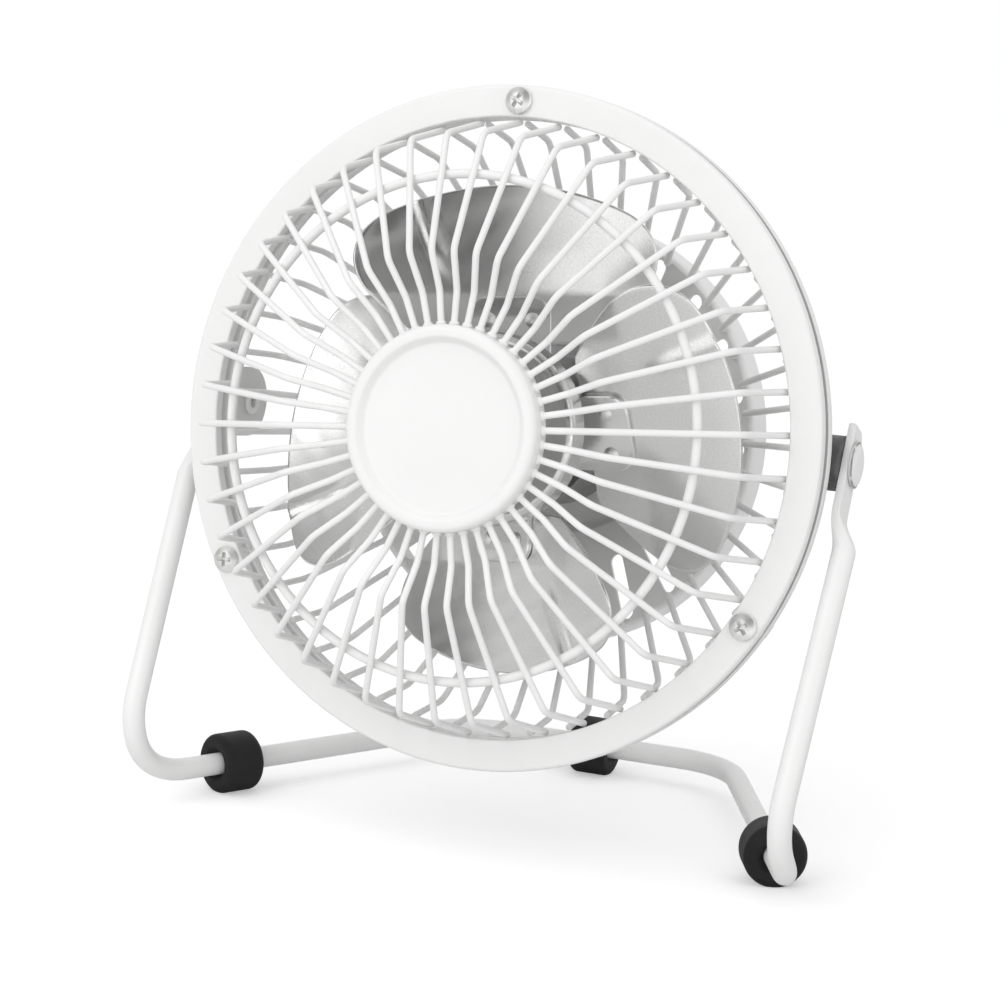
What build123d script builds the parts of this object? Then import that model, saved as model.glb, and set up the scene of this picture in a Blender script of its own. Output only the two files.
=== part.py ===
from build123d import *
import math
import os

# Small tilting desk fan: a bent rod stand, a wire guard head, a four-blade rotor and a DC motor.
# Millimetres, +Z up, +X to the right of a person facing the fan, +Y towards its back.
# The head is modelled in its own frame: Y is the fan axis, pointing backwards, and y = 0 is the
# front face of the front ring. Profiles are (radius, depth) pairs, turned about that axis.

# Place of the head
head_tilt = 6.06
ring_floor_clearance = 17.8
ring_centre_y = -24.1

# Clearances
weld_gap = 0.1
press_gap = 0.05
running_gap = 0.05
contact_gap = 0.05
screw_hole_clearance = 0.15

# Guard rings and the screws that join them
ring_outer_radius = 70.0
ring_width = 6.55
ring_thickness = 2.8
ring_spacing = 2.2
ring_edge_chamfer = 0.5
seat_radius = 2.9
screw_edge_distance = 3.3
screw_angles = (90.0, 210.0, 330.0)
screw_radius = 1.5
screw_head_radius = 2.8
screw_head_height = 1.6
screw_head_chamfer = 0.7
screw_length = 11.4
nut_width = 5.5
nut_height = 2.4

# Guard wires
wire_radius = 0.73
wire_sides = 6
front_wire_count = 46
front_wire_phase = 0.56
rear_wire_count = 45
rear_wire_phase = 0.24
wire_corner = 3.6

# Front guard profile
cap_radius = 20.4
cap_front_depth = -25.5
cap_length = 6.0
cap_face_radius = 17.2
cap_face_recess = 0.9
cap_sheet = 0.8
front_wire_root_depth = -21.8
front_wire_step_radius = 27.2
front_wire_crest_radius = 35.0
front_wire_crest_depth = -25.0
front_wire_corner_inset = 3.92
front_wire_corner_depth = -15.2
middle_ring_inset = 8.4
middle_wire_radius = 0.95

# Rear guard profile and the rear bowl that carries the motor
rear_wire_corner_inset = 2.22
rear_wire_corner_depth = 17.6
bowl_radius = 46.2
bowl_rim_depth = 32.2
bowl_skirt_length = 8.6
bowl_rim_land = 0.5
bowl_sheet = 0.8
bowl_cup_depth = 5.0
bowl_cup_radius = 22.0
bowl_cup_floor_radius = 20.6
bowl_back_depth = 50.0
vent_count = 24
vent_width = 3.0
vent_length = 14.4
vent_rim_margin = 0.9
wire_end_lap = 0.6

# Tilt pivots on both sides
pivot_setback = 15.2
tab_ring_inset = 0.2
tab_thickness = 1.2
tab_radius = 7.5
tab_foot_width = 5.4
bush_radius = 5.6
bush_length = 5.9
rivet_radius = 2.0
rivet_head_radius = 4.2
rivet_head_height = 1.4
rivet_head_chamfer = 0.7
rivet_tail_radius = 2.75
rivet_tail_height = 0.9
rivet_tail_bore = 1.3
rivet_tail_bore_depth = 3.0

# Bent rod stand
rod_radius = 2.4
rod_centre_height = 6.4
knee_offset = 0.0
front_corner_offset = -0.15
knee_y = -43.1
knee_height = 18.25
front_corner_y = -31.7
rear_corner_x = 33.1
rear_bar_y = 46.85
knee_bend_radius = 11.6
front_bend_radius = 16.6
rear_bend_radius = 19.0
leg_top_offset = 2.3
paddle_thickness = 1.6
paddle_width = 7.2
paddle_length = 10.5
paddle_crown = 7.5
paddle_corner = 2.4
flattening_length = 8.0

# Rubber feet on the stand
foot_radius = 6.6
foot_length = 9.2
foot_chamfer = 1.0
foot_bore_clearance = 0.1
side_foot_share = 0.231

# Rotor
blade_count = 4
blade_angle = 5.0
blade_tip_radius = 50.6
blade_root_radius = 17.5
blade_neck_length = 1.0
blade_widest_inset = 14.4
blade_sheet = 0.8
blade_depth = 10.0
blade_root_pitch = 27.0
blade_tip_pitch = 15.0
blade_root_width = 32.0
blade_width = 57.6
hub_cover_radius = 19.8
hub_cover_depth = -4.0
hub_cover_length = 6.6
hub_cover_sheet = 0.8
hub_cover_chamfer = 1.2
hub_plate_radius = 15.0
hub_plate_thickness = 1.2
hub_arm_width = 17.0
hub_arm_reach = 27.5
hub_arm_lap = 5.0
hub_arm_corner = 4.0
hub_boss_radius = 4.5
hub_boss_gap = 1.8
hub_boss_end = 1.0
blade_rivet_radius = 1.0
blade_rivet_head = 1.6
blade_rivet_head_height = 0.7
blade_rivet_circle = 22.6
blade_rivet_spread = 4.6
shaft_radius = 1.15

# Motor
motor_radius = 16.0
motor_back_setback = 13.0
motor_length = 18.6
motor_sheet = 0.8
end_cap_thickness = 2.5
bearing_radius = 3.0
bearing_length = 3.4
front_bearing_overhang = 1.4
magnet_thickness = 2.9
magnet_length = 13.0
magnet_inset = 1.0
magnet_span = 128.0
armature_air_gap = 0.6
armature_length = 8.5
armature_setback = 3.2
armature_core_radius = 3.6
pole_count = 3
pole_neck = 3.4
pole_shoe_thickness = 1.8
pole_shoe_span = 96.0
coil_wall = 2.4
coil_overhang = 1.2
coil_inner_radius = 4.9
commutator_radius = 2.6
commutator_length = 2.4
brush_thickness = 0.4
brush_width = 2.4
brush_gap = 0.3
brush_setback = 0.4
motor_bracket_sheet = 1.2
motor_bracket_radius = 14.4
motor_bracket_arm_width = 6.0
motor_bracket_leg_radius = 27.0
motor_bracket_arm_lap = 3.0
motor_screw_offset = 9.5
motor_screw_radius = 1.25
motor_screw_head_radius = 2.3
motor_screw_head_height = 1.4

# Switch and cord inlet on the back
switch_height = 4.2
switch_width = 9.0
switch_tall = 14.4
switch_body_depth = 9.2
bezel_margin = 1.2
bezel_thickness = 1.5
rocker_width = 6.4
rocker_tall = 10.4
rocker_gap = 0.4
rocker_swing = 9.0
rocker_pivot_depth = 3.8
rocker_end_rise = 4.9
rocker_dip = 1.0
rocker_keel = 2.6
rocker_well_margin = 1.0
rocker_pin_radius = 0.9
rocker_pin_reach = 0.9
terminal_length = 2.0
terminal_width = 2.4
terminal_thickness = 0.6
terminal_spread = 3.6
grommet_drop = 12.6
grommet_hole_radius = 3.0
grommet_bore_radius = 1.9
grommet_flange_radius = 4.3
grommet_flange_thickness = 1.2

os.makedirs("parts", exist_ok=True)

ring_centre_height = ring_outer_radius + ring_floor_clearance
head_place = Pos(0, ring_centre_y, ring_centre_height) * Rot(-head_tilt, 0, 0)


def turned(*points):
    """Solid of revolution about the fan axis from (radius, depth) points."""
    return revolve(make_face(Polyline(*points, close=True)), axis=Axis.Y)


def spun(angle, shape):
    """The shape turned about the fan axis, anticlockwise as seen from the front."""
    return Rot(0, -angle, 0) * shape


def rod_along_y(radius, start, end):
    """Round bar along the fan axis between two depths."""
    return Pos(0, (start + end) / 2, 0) * Rot(90, 0, 0) * Cylinder(radius, end - start)


def rod_along_x(radius, start, end):
    """Round bar across the fan between two x positions."""
    return Pos((start + end) / 2, 0, 0) * Rot(0, 90, 0) * Cylinder(radius, end - start)


def block(x_range, y_range, z_range):
    """Box between two corners given as ranges."""
    sizes = [high - low for low, high in (x_range, y_range, z_range)]
    middles = [(high + low) / 2 for low, high in (x_range, y_range, z_range)]
    return Pos(*middles) * Box(*sizes)


def left_right(shape):
    """The right-hand shape and its mirror image on the left."""
    return [shape, mirror(shape, about=Plane.YZ)]


def save(name, *shapes):
    """Write one node, made of one or more separate solids."""
    solids = [solid for shape in shapes for solid in shape.solids()]
    node = solids[0] if len(solids) == 1 else Compound(solids)
    export_step(node, "parts/" + name + ".step")


def save_on_head(name, *shapes):
    """Write a node that is modelled in the head's own frame."""
    save(name, *[head_place * shape for shape in shapes])


def cut_corner(before, corner, after, reach):
    """Two points that replace a sharp corner, each the given reach away from it."""
    points = []
    for other in (before, after):
        span = math.dist(corner, other)
        points.append(tuple(c + (o - c) * reach / span for c, o in zip(corner, other)))
    return points


def bent_wire(points):
    """Straight wire pieces with mitred bends along (radius, depth) points."""
    path = Polyline(*[(radius, depth, 0) for radius, depth in points])
    section = Plane(origin=path @ 0, z_dir=path % 0) * RegularPolygon(wire_radius, wire_sides)
    return sweep(section, path=path, transition=Transition.RIGHT)


def wire_cage(points, count, phase):
    """Equal wires set around the fan axis."""
    wire = bent_wire(points)
    return [spun((index + phase) * 360 / count, wire) for index in range(count)]


def rounded_path(points, bends):
    """Wire through the points with each inner corner rounded to its bend radius."""
    corners = [Vector(*point) for point in points]
    edges = []
    start = corners[0]
    for before, corner, after, bend in zip(corners, corners[1:], corners[2:], bends):
        to_before = (before - corner).normalized()
        to_after = (after - corner).normalized()
        half = math.radians(to_before.get_angle(to_after)) / 2
        reach = bend / math.tan(half)
        inward = (to_before + to_after).normalized()
        arc_start = corner + to_before * reach
        arc_middle = corner + inward * (bend / math.sin(half) - bend)
        arc_end = corner + to_after * reach
        edges.append(Edge.make_line(start, arc_start))
        edges.append(Edge.make_three_point_arc(arc_start, arc_middle, arc_end))
        start = arc_end
    edges.append(Edge.make_line(start, corners[-1]))
    return Wire(edges)


# Guard rings
ring_inner_radius = ring_outer_radius - ring_width
screw_circle_radius = ring_outer_radius - screw_edge_distance
rear_ring_depth = ring_thickness + ring_spacing
rear_ring_back = rear_ring_depth + ring_thickness
screw_hole = screw_radius + screw_hole_clearance


def at_screws(shape):
    """Copies of a shape made on the fan axis, moved out to the ring screws."""
    return [spun(angle, Pos(screw_circle_radius, 0, 0) * shape) for angle in screw_angles]


def front_ring():
    """Flat painted ring with three pressed seats that meet the rear ring."""
    ring = turned(
        (ring_inner_radius, 0),
        (ring_outer_radius - ring_edge_chamfer, 0),
        (ring_outer_radius, ring_edge_chamfer),
        (ring_outer_radius, ring_thickness),
        (ring_inner_radius, ring_thickness),
    )
    seat = rod_along_y(seat_radius, ring_thickness - 0.5, rear_ring_depth - contact_gap)
    hole = rod_along_y(screw_hole, -1, rear_ring_depth + 1)
    ring = ring + at_screws(seat)
    return ring - at_screws(hole)


def rear_ring():
    """Flat painted ring behind the front one."""
    ring = turned(
        (ring_inner_radius, rear_ring_depth),
        (ring_outer_radius, rear_ring_depth),
        (ring_outer_radius, rear_ring_back),
        (ring_inner_radius, rear_ring_back),
    )
    hole = rod_along_y(screw_hole, rear_ring_depth - 1, rear_ring_back + 1)
    return ring - at_screws(hole)


def ring_screw():
    """Pan-head screw through both rings."""
    shank = rod_along_y(screw_radius, -contact_gap - 0.5, screw_length)
    head = turned(
        (0, -contact_gap),
        (screw_head_radius, -contact_gap),
        (screw_head_radius, screw_head_chamfer - screw_head_height),
        (screw_head_radius - screw_head_chamfer, -screw_head_height),
        (0, -screw_head_height),
    )
    return shank + head


def ring_nut():
    """Plain hexagon nut behind the rear ring."""
    start = rear_ring_back + contact_gap
    hexagon = RegularPolygon(nut_width / 2, 6, major_radius=False)
    prism = extrude(Plane(origin=(0, start, 0), z_dir=(0, 1, 0)) * hexagon, nut_height)
    return prism - rod_along_y(screw_radius + press_gap, start - 1, start + nut_height + 1)


save_on_head("front_ring", front_ring())
save_on_head("rear_ring", rear_ring())
save_on_head("ring_screws", *at_screws(ring_screw()))
save_on_head("ring_nuts", *at_screws(ring_nut()))

# Front guard
wire_seat_radius = ring_inner_radius - wire_radius - weld_gap
cap_back_depth = cap_front_depth + cap_length
front_wire_corner_radius = wire_seat_radius - front_wire_corner_inset
middle_ring_radius = front_wire_corner_radius - middle_ring_inset
front_corner = (front_wire_corner_radius, front_wire_corner_depth)
front_crest = (front_wire_crest_radius, front_wire_crest_depth)
front_tail = (wire_seat_radius, ring_thickness - weld_gap)
front_points = [
    (cap_radius + weld_gap, front_wire_root_depth),
    (front_wire_step_radius, front_wire_root_depth),
    front_crest,
    *cut_corner(front_crest, front_corner, front_tail, wire_corner),
    front_tail,
]


def front_cap():
    """Pressed cap in the middle of the front guard, with a raised bead around a flat face."""
    face_depth = cap_front_depth + cap_face_recess
    bead_radius = cap_face_radius + cap_face_recess
    inner_radius = cap_radius - cap_sheet
    return turned(
        (0, face_depth),
        (cap_face_radius, face_depth),
        (bead_radius, cap_front_depth),
        (cap_radius - cap_sheet, cap_front_depth),
        (cap_radius, cap_front_depth + cap_sheet),
        (cap_radius, cap_back_depth),
        (inner_radius, cap_back_depth),
        (inner_radius, face_depth + cap_sheet),
        (0, face_depth + cap_sheet),
    )


def middle_ring():
    """Round wire ring welded behind the front wires."""
    run = front_wire_corner_radius - front_wire_crest_radius
    rise = front_wire_corner_depth - front_wire_crest_depth
    slope = math.atan2(rise, run)
    wire_depth = front_wire_crest_depth + (middle_ring_radius - front_wire_crest_radius) * rise / run
    spacing = wire_radius + middle_wire_radius + weld_gap
    depth = wire_depth + spacing / math.cos(slope)
    section = Pos(middle_ring_radius, depth) * RegularPolygon(middle_wire_radius, wire_sides)
    return revolve(section, axis=Axis.Y)


save_on_head("front_cap", front_cap())
save_on_head("front_guard_wires", *wire_cage(front_points, front_wire_count, front_wire_phase))
save_on_head("guard_middle_ring", middle_ring())

# Rear guard and bowl
cone_start_radius = bowl_radius - bowl_sheet - bowl_rim_land
cone_rise = bowl_back_depth - bowl_cup_depth - bowl_rim_depth
cone_slope = cone_rise / (cone_start_radius - bowl_cup_radius)
cone_lean = math.cos(math.atan(cone_slope))
bowl_back_sheet = bowl_sheet / cone_lean
vent_outer_radius = cone_start_radius - vent_rim_margin
vent_inner_radius = vent_outer_radius - vent_length


def cone_depth(radius):
    """Depth of the bowl's front surface on its cone."""
    return bowl_rim_depth + (cone_start_radius - radius) * cone_slope


rear_corner = (wire_seat_radius - rear_wire_corner_inset, rear_wire_corner_depth)
rear_tail = (wire_seat_radius, rear_ring_depth + weld_gap)
rear_end_radius = cone_start_radius - wire_end_lap
rear_end = (rear_end_radius, cone_depth(rear_end_radius) - (wire_radius + 2 * weld_gap) / cone_lean)
rear_points = [
    rear_tail,
    *cut_corner(rear_tail, rear_corner, rear_end, wire_corner),
    rear_end,
]


def rear_bowl():
    """Sheet-metal bowl with a turned-back skirt, radial vents and a deeper cup for the switch."""
    inner_radius = bowl_radius - bowl_sheet
    skirt_end = bowl_rim_depth + bowl_skirt_length
    bowl = turned(
        (bowl_radius, skirt_end),
        (bowl_radius, bowl_rim_depth + bowl_sheet),
        (inner_radius, bowl_rim_depth),
        (cone_start_radius, bowl_rim_depth),
        (bowl_cup_radius, cone_depth(bowl_cup_radius)),
        (bowl_cup_floor_radius, bowl_back_depth),
        (0, bowl_back_depth),
        (0, bowl_back_depth + bowl_sheet),
        (bowl_cup_floor_radius + bowl_sheet * 0.8, bowl_back_depth + bowl_sheet),
        (bowl_cup_radius + bowl_sheet, cone_depth(bowl_cup_radius + bowl_sheet) + bowl_back_sheet),
        (inner_radius, cone_depth(inner_radius) + bowl_back_sheet),
        (inner_radius, skirt_end),
    )
    half = vent_width / 2
    outline = make_face(Polyline(
        (vent_inner_radius + half, half),
        (vent_inner_radius, half / 2),
        (vent_inner_radius, -half / 2),
        (vent_inner_radius + half, -half),
        (vent_outer_radius - half, -half),
        (vent_outer_radius, -half / 2),
        (vent_outer_radius, half / 2),
        (vent_outer_radius - half, half),
        close=True,
    ))
    face = Plane(origin=(0, bowl_rim_depth - 1, 0), x_dir=(1, 0, 0), z_dir=(0, 1, 0)) * outline
    vent = extrude(face, bowl_back_depth - bowl_rim_depth)
    bowl = bowl - [spun(index * 360 / vent_count, vent) for index in range(vent_count)]
    bowl = bowl - block(
        (-switch_width / 2 - press_gap, switch_width / 2 + press_gap),
        (bowl_back_depth - 1, bowl_back_depth + bowl_sheet + 1),
        (switch_height - switch_tall / 2 - press_gap, switch_height + switch_tall / 2 + press_gap),
    )
    cord_hole = rod_along_y(grommet_hole_radius, bowl_back_depth - 1, bowl_back_depth + bowl_sheet + 1)
    return bowl - Pos(0, 0, -grommet_drop) * cord_hole


save_on_head("rear_guard_wires", *wire_cage(rear_points, rear_wire_count, rear_wire_phase))
save_on_head("rear_bowl", rear_bowl())

# Tilt pivots, modelled on the right and mirrored to the left
tab_inner_x = ring_inner_radius + tab_ring_inset
tab_outer_x = tab_inner_x + tab_thickness
paddle_inner_x = tab_outer_x + bush_length + 2 * contact_gap
paddle_outer_x = paddle_inner_x + paddle_thickness
rivet_hole = rivet_radius + running_gap


def pivot_bracket():
    """Angle bracket welded to the back of the rear ring, with the pivot hole in its tab."""
    foot_front = rear_ring_back + weld_gap
    disc = rod_along_x(tab_radius, tab_inner_x, tab_outer_x)
    shank = block(
        (tab_inner_x, tab_outer_x),
        (foot_front - pivot_setback, 0),
        (-tab_radius, tab_radius),
    )
    foot = block(
        (tab_inner_x, tab_inner_x + tab_foot_width),
        (foot_front - pivot_setback, foot_front + tab_thickness - pivot_setback),
        (-tab_radius, tab_radius),
    )
    ahead = block(
        (tab_inner_x - 1, tab_outer_x + 1),
        (-pivot_setback - tab_radius, foot_front - pivot_setback),
        (-2 * tab_radius, 2 * tab_radius),
    )
    hole = rod_along_x(rivet_hole, tab_inner_x - 1, tab_outer_x + 1)
    return Pos(0, pivot_setback, 0) * ((disc + shank + foot) - ahead - hole)


def pivot_rivet():
    """Rivet through paddle, bush and tab, with a smooth head outside and an eyelet tail inside."""
    head_start = paddle_outer_x + contact_gap
    tail_end = tab_inner_x - contact_gap
    tail_start = tail_end - rivet_tail_height
    shank = rod_along_x(rivet_radius, tail_start, head_start + 0.5)
    tail = rod_along_x(rivet_tail_radius, tail_start, tail_end)
    head = rod_along_x(rivet_head_radius, head_start, head_start + rivet_head_height)
    rim = head.edges().filter_by(GeomType.CIRCLE).sort_by(Axis.X)[-1]
    head = chamfer(rim, rivet_head_chamfer)
    bore = rod_along_x(rivet_tail_bore, tail_start - 1, tail_start + rivet_tail_bore_depth)
    return Pos(0, pivot_setback, 0) * ((shank + tail + head) - bore)


def pivot_bush():
    """Friction bush between the tab and the stand's paddle."""
    start = tab_outer_x + contact_gap
    end = paddle_inner_x - contact_gap
    bush = rod_along_x(bush_radius, start, end) - rod_along_x(rivet_hole, start - 1, end + 1)
    return Pos(0, pivot_setback, 0) * bush


bracket_right, bracket_left = left_right(pivot_bracket())
save_on_head("pivot_bracket_right", bracket_right)
save_on_head("pivot_bracket_left", bracket_left)
save_on_head("pivot_rivets", *left_right(pivot_rivet()))
save_on_head("pivot_bushes", *left_right(pivot_bush()))

# Stand, in the fan's own frame
tilt = math.radians(head_tilt)
pivot_y = ring_centre_y + pivot_setback * math.cos(tilt)
pivot_height = ring_centre_height - pivot_setback * math.sin(tilt)
knee = Vector(0, knee_y, knee_height)
leg_direction = (Vector(0, pivot_y, pivot_height) - knee).normalized()
paddle_middle_x = (paddle_inner_x + paddle_outer_x) / 2
paddle_foot = Vector(paddle_middle_x, pivot_y, pivot_height) - leg_direction * paddle_length
leg_top = paddle_foot - leg_direction * flattening_length
leg_top = Vector(paddle_middle_x + leg_top_offset, leg_top.Y, leg_top.Z)
knee_x = paddle_middle_x + knee_offset
front_corner_x = paddle_middle_x + front_corner_offset


def stand_path():
    """Centre line of the rod from one leg top round the floor loop to the other."""
    half = [
        (leg_top.X, leg_top.Y, leg_top.Z),
        (knee_x, knee_y, knee_height),
        (front_corner_x, front_corner_y, rod_centre_height),
        (rear_corner_x, rear_bar_y, rod_centre_height),
    ]
    other_half = [(-x, y, z) for x, y, z in reversed(half)]
    bends = [knee_bend_radius, front_bend_radius, rear_bend_radius]
    return rounded_path(half + other_half, bends + bends[::-1])


def leg_end():
    """Flattened and drilled end of the right leg."""
    across = Vector(1, 0, 0)
    rod_plane = Plane(origin=leg_top, x_dir=across, z_dir=leg_direction)
    paddle_plane = Plane(origin=paddle_foot, x_dir=across, z_dir=leg_direction)
    section = paddle_plane * Rectangle(paddle_thickness, paddle_width)
    blend = loft([rod_plane * Circle(rod_radius), section])
    paddle = extrude(section, paddle_length + paddle_crown)
    rear_top_edge = paddle.edges().filter_by(Axis.X).sort_by(Axis.Z)[-2]
    paddle = chamfer(rear_top_edge, paddle_corner)
    hole = Pos(0, pivot_y, pivot_height) * rod_along_x(rivet_hole, paddle_inner_x - 3, paddle_outer_x + 3)
    return (blend + paddle) - hole


def stand_rod():
    """One bent steel rod: two legs and the floor loop."""
    path = stand_path()
    start = Plane(origin=path @ 0, z_dir=path % 0)
    rod = sweep(start * Circle(rod_radius), path=path)
    return rod + left_right(leg_end())


def rubber_foot(centre, direction):
    """Rubber ring on the rod with a small flat where it meets the floor."""
    place = Plane(origin=centre, z_dir=direction)
    tube = place * Cylinder(foot_radius, foot_length)
    rims = tube.edges().filter_by(GeomType.CIRCLE)
    tube = chamfer(rims, foot_chamfer)
    bore = place * Cylinder(rod_radius + foot_bore_clearance, foot_length + 2)
    below = Pos(centre[0], centre[1], -foot_radius) * Box(4 * foot_radius, 4 * foot_radius, 2 * foot_radius)
    return tube - bore - below


side_run = Vector(rear_corner_x - front_corner_x, rear_bar_y - front_corner_y, 0)
side_foot_centre = Vector(front_corner_x, front_corner_y, rod_centre_height) + side_run * side_foot_share
foot_right, foot_left = left_right(rubber_foot(tuple(side_foot_centre), side_run.normalized()))
save("stand_rod", stand_rod())
save("foot_right", foot_right)
save("foot_left", foot_left)
save("foot_rear", rubber_foot((0, rear_bar_y, rod_centre_height), Vector(1, 0, 0)))

# Rotor, modelled in the head's frame with the first blade along +X
blade_step = 360 / blade_count


def around_blades(shape):
    """One copy of a shape for each blade."""
    return [spun(blade_angle + index * blade_step, shape) for index in range(blade_count)]


def on_blade_root(radius, offset):
    """Place on the flat blade root at a radius, lifted towards the front by an offset."""
    return Pos(radius, blade_depth, 0) * Rot(blade_root_pitch, 0, 0) * Pos(0, -offset, 0)


def blade_outline():
    """Paddle outline seen along the fan axis: narrow root, broad rounded tip."""
    half_root = blade_root_width / 2
    half_wide = blade_width / 2
    neck = blade_root_radius + blade_neck_length
    widest = blade_tip_radius - blade_widest_inset
    shoulder = [
        (neck + (widest - neck) * share, half_root + (half_wide - half_root) * math.sin(share * math.pi / 2))
        for share in (0.0, 0.25, 0.5, 0.75, 1.0)
    ]
    reach = math.atan2(half_wide, widest)
    tip = [
        (blade_tip_radius * math.cos(reach * share), blade_tip_radius * math.sin(reach * share))
        for share in (0.86, 0.6, 0.3)
    ]
    side = [(blade_root_radius, half_root)] + shoulder + tip
    return side + [(blade_tip_radius, 0)] + [(x, -z) for x, z in reversed(side)]


def at_blade_rivets(shape):
    """Copies of a shape made on the Y axis, set on the two rivet places of the first blade root."""
    places = [on_blade_root(blade_rivet_circle, 0) * Pos(0, 0, side * blade_rivet_spread) for side in (1, -1)]
    return [place * shape for place in places]


blade_rivet_hole = blade_rivet_radius + press_gap
arm_lift = (blade_sheet + hub_plate_thickness) / 2 + contact_gap


def blade():
    """Pressed sheet blade: a flat root, then a pitch that eases towards the tip."""
    chord = 2 * blade_width
    pitches = (
        (blade_root_radius - 2, blade_root_pitch),
        (hub_arm_reach + 1, blade_root_pitch),
        (blade_tip_radius + 2, blade_tip_pitch),
    )
    sections = []
    for radius, pitch in pitches:
        plane = Plane(origin=(radius, blade_depth, 0), x_dir=(0, 1, 0), z_dir=(1, 0, 0))
        sections.append(plane * Rot(0, 0, pitch) * Rectangle(blade_sheet, chord))
    sheet = loft(sections, ruled=True)
    outline = make_face(Polyline(*blade_outline(), close=True))
    face = Plane(origin=(0, blade_depth, 0), x_dir=(1, 0, 0), z_dir=(0, -1, 0)) * outline
    paddle = sheet & extrude(face, blade_width, both=True)
    return paddle - at_blade_rivets(rod_along_y(blade_rivet_hole, -3, 3))


def blade_hub():
    """Hub with a boss on the shaft and one pitched arm in front of each blade root."""
    inner = hub_plate_radius - hub_arm_lap
    middle = (inner + hub_arm_reach) / 2
    arm = Box(hub_arm_reach - inner, hub_plate_thickness, hub_arm_width)
    corners = arm.edges().filter_by(Axis.Y).sort_by(Axis.X)[-2:]
    arm = on_blade_root(middle, arm_lift) * fillet(corners, hub_arm_corner)
    arm = arm - at_blade_rivets(rod_along_y(blade_rivet_hole, -3, 3))
    plate_middle = blade_depth - arm_lift
    half = hub_plate_thickness / 2
    hub = rod_along_y(hub_plate_radius, plate_middle - half, plate_middle + half)
    hub = hub + rod_along_y(hub_boss_radius, hub_boss_front, hub_boss_back) + around_blades(arm)
    return hub - rod_along_y(shaft_radius + press_gap, shaft_front, hub_boss_back + 1)


def hub_cover():
    """Spun cover over the hub, a shallow cup open to the back."""
    back = hub_cover_depth + hub_cover_length
    inner_radius = hub_cover_radius - hub_cover_sheet
    return turned(
        (0, hub_cover_depth),
        (hub_cover_radius - hub_cover_chamfer, hub_cover_depth),
        (hub_cover_radius, hub_cover_depth + hub_cover_chamfer),
        (hub_cover_radius, back),
        (inner_radius, back),
        (inner_radius, hub_cover_depth + hub_cover_chamfer),
        (inner_radius - hub_cover_chamfer + hub_cover_sheet, hub_cover_depth + hub_cover_sheet),
        (0, hub_cover_depth + hub_cover_sheet),
    )


def blade_rivet():
    """Small rivet with a head on each side of arm and blade."""
    front = -arm_lift - hub_plate_thickness / 2 - contact_gap
    back = blade_sheet / 2 + contact_gap
    shank = rod_along_y(blade_rivet_radius, front, back)
    front_head = rod_along_y(blade_rivet_head, front - blade_rivet_head_height, front)
    back_head = rod_along_y(blade_rivet_head, back, back + blade_rivet_head_height)
    return shank + front_head + back_head


motor_back_depth = bowl_back_depth - motor_back_setback
motor_front_depth = motor_back_depth - motor_length
hub_boss_front = hub_cover_depth + hub_cover_sheet + contact_gap
hub_boss_back = motor_front_depth - front_bearing_overhang - hub_boss_gap
shaft_front = hub_boss_front + hub_boss_end
end_cap_depth = motor_back_depth - end_cap_thickness
shaft_back = motor_back_depth

for number, piece in enumerate(around_blades(blade()), start=1):
    save_on_head("blade_" + str(number), piece)
rivet_pair = at_blade_rivets(blade_rivet())
save_on_head("blade_rivets", *[copy for rivet in rivet_pair for copy in around_blades(rivet)])
save_on_head("blade_hub", blade_hub())
save_on_head("hub_cover", hub_cover())
save_on_head("fan_shaft", rod_along_y(shaft_radius, shaft_front + contact_gap, shaft_back))

# Motor
can_inner_radius = motor_radius - motor_sheet
magnet_outer_radius = can_inner_radius - weld_gap
magnet_inner_radius = magnet_outer_radius - magnet_thickness
armature_radius = magnet_inner_radius - armature_air_gap
shoe_inner_radius = armature_radius - pole_shoe_thickness
armature_front_depth = motor_front_depth + armature_setback
armature_back_depth = armature_front_depth + armature_length
bearing_bore = shaft_radius + running_gap
motor_screw_hole = motor_screw_radius + press_gap
bracket_front = motor_back_depth + contact_gap
bracket_back = bracket_front + motor_bracket_sheet


def at_motor_screws(shape):
    """The shape at both motor screws."""
    return [Pos(side * motor_screw_offset, 0, 0) * shape for side in (1, -1)]


def motor_can():
    """Drawn steel motor case, closed at the front around the bearing."""
    hole = bearing_radius + press_gap
    return turned(
        (hole, motor_front_depth),
        (motor_radius, motor_front_depth),
        (motor_radius, motor_back_depth),
        (can_inner_radius, motor_back_depth),
        (can_inner_radius, motor_front_depth + motor_sheet),
        (hole, motor_front_depth + motor_sheet),
    )


def bearing(front):
    """Plain sleeve bearing."""
    sleeve = rod_along_y(bearing_radius, front, front + bearing_length)
    return sleeve - rod_along_y(bearing_bore, front - 1, front + bearing_length + 1)


def end_cap():
    """Plastic plug that closes the back of the motor and holds the rear bearing."""
    plug = rod_along_y(can_inner_radius - press_gap, end_cap_depth, motor_back_depth)
    bore = rod_along_y(bearing_radius + press_gap, end_cap_depth - 1, motor_back_depth + 1)
    screw_bore = rod_along_y(motor_screw_hole, end_cap_depth - 1, motor_back_depth + 1)
    return plug - bore - at_motor_screws(screw_bore)


def sector(inner_radius, outer_radius, front, back, span):
    """Part of a tube, centred on the +X direction."""
    profile = make_face(Polyline(
        (inner_radius, front),
        (outer_radius, front),
        (outer_radius, back),
        (inner_radius, back),
        close=True,
    ))
    return spun(-span / 2, revolve(profile, axis=Axis.Y, revolution_arc=-span))


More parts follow.
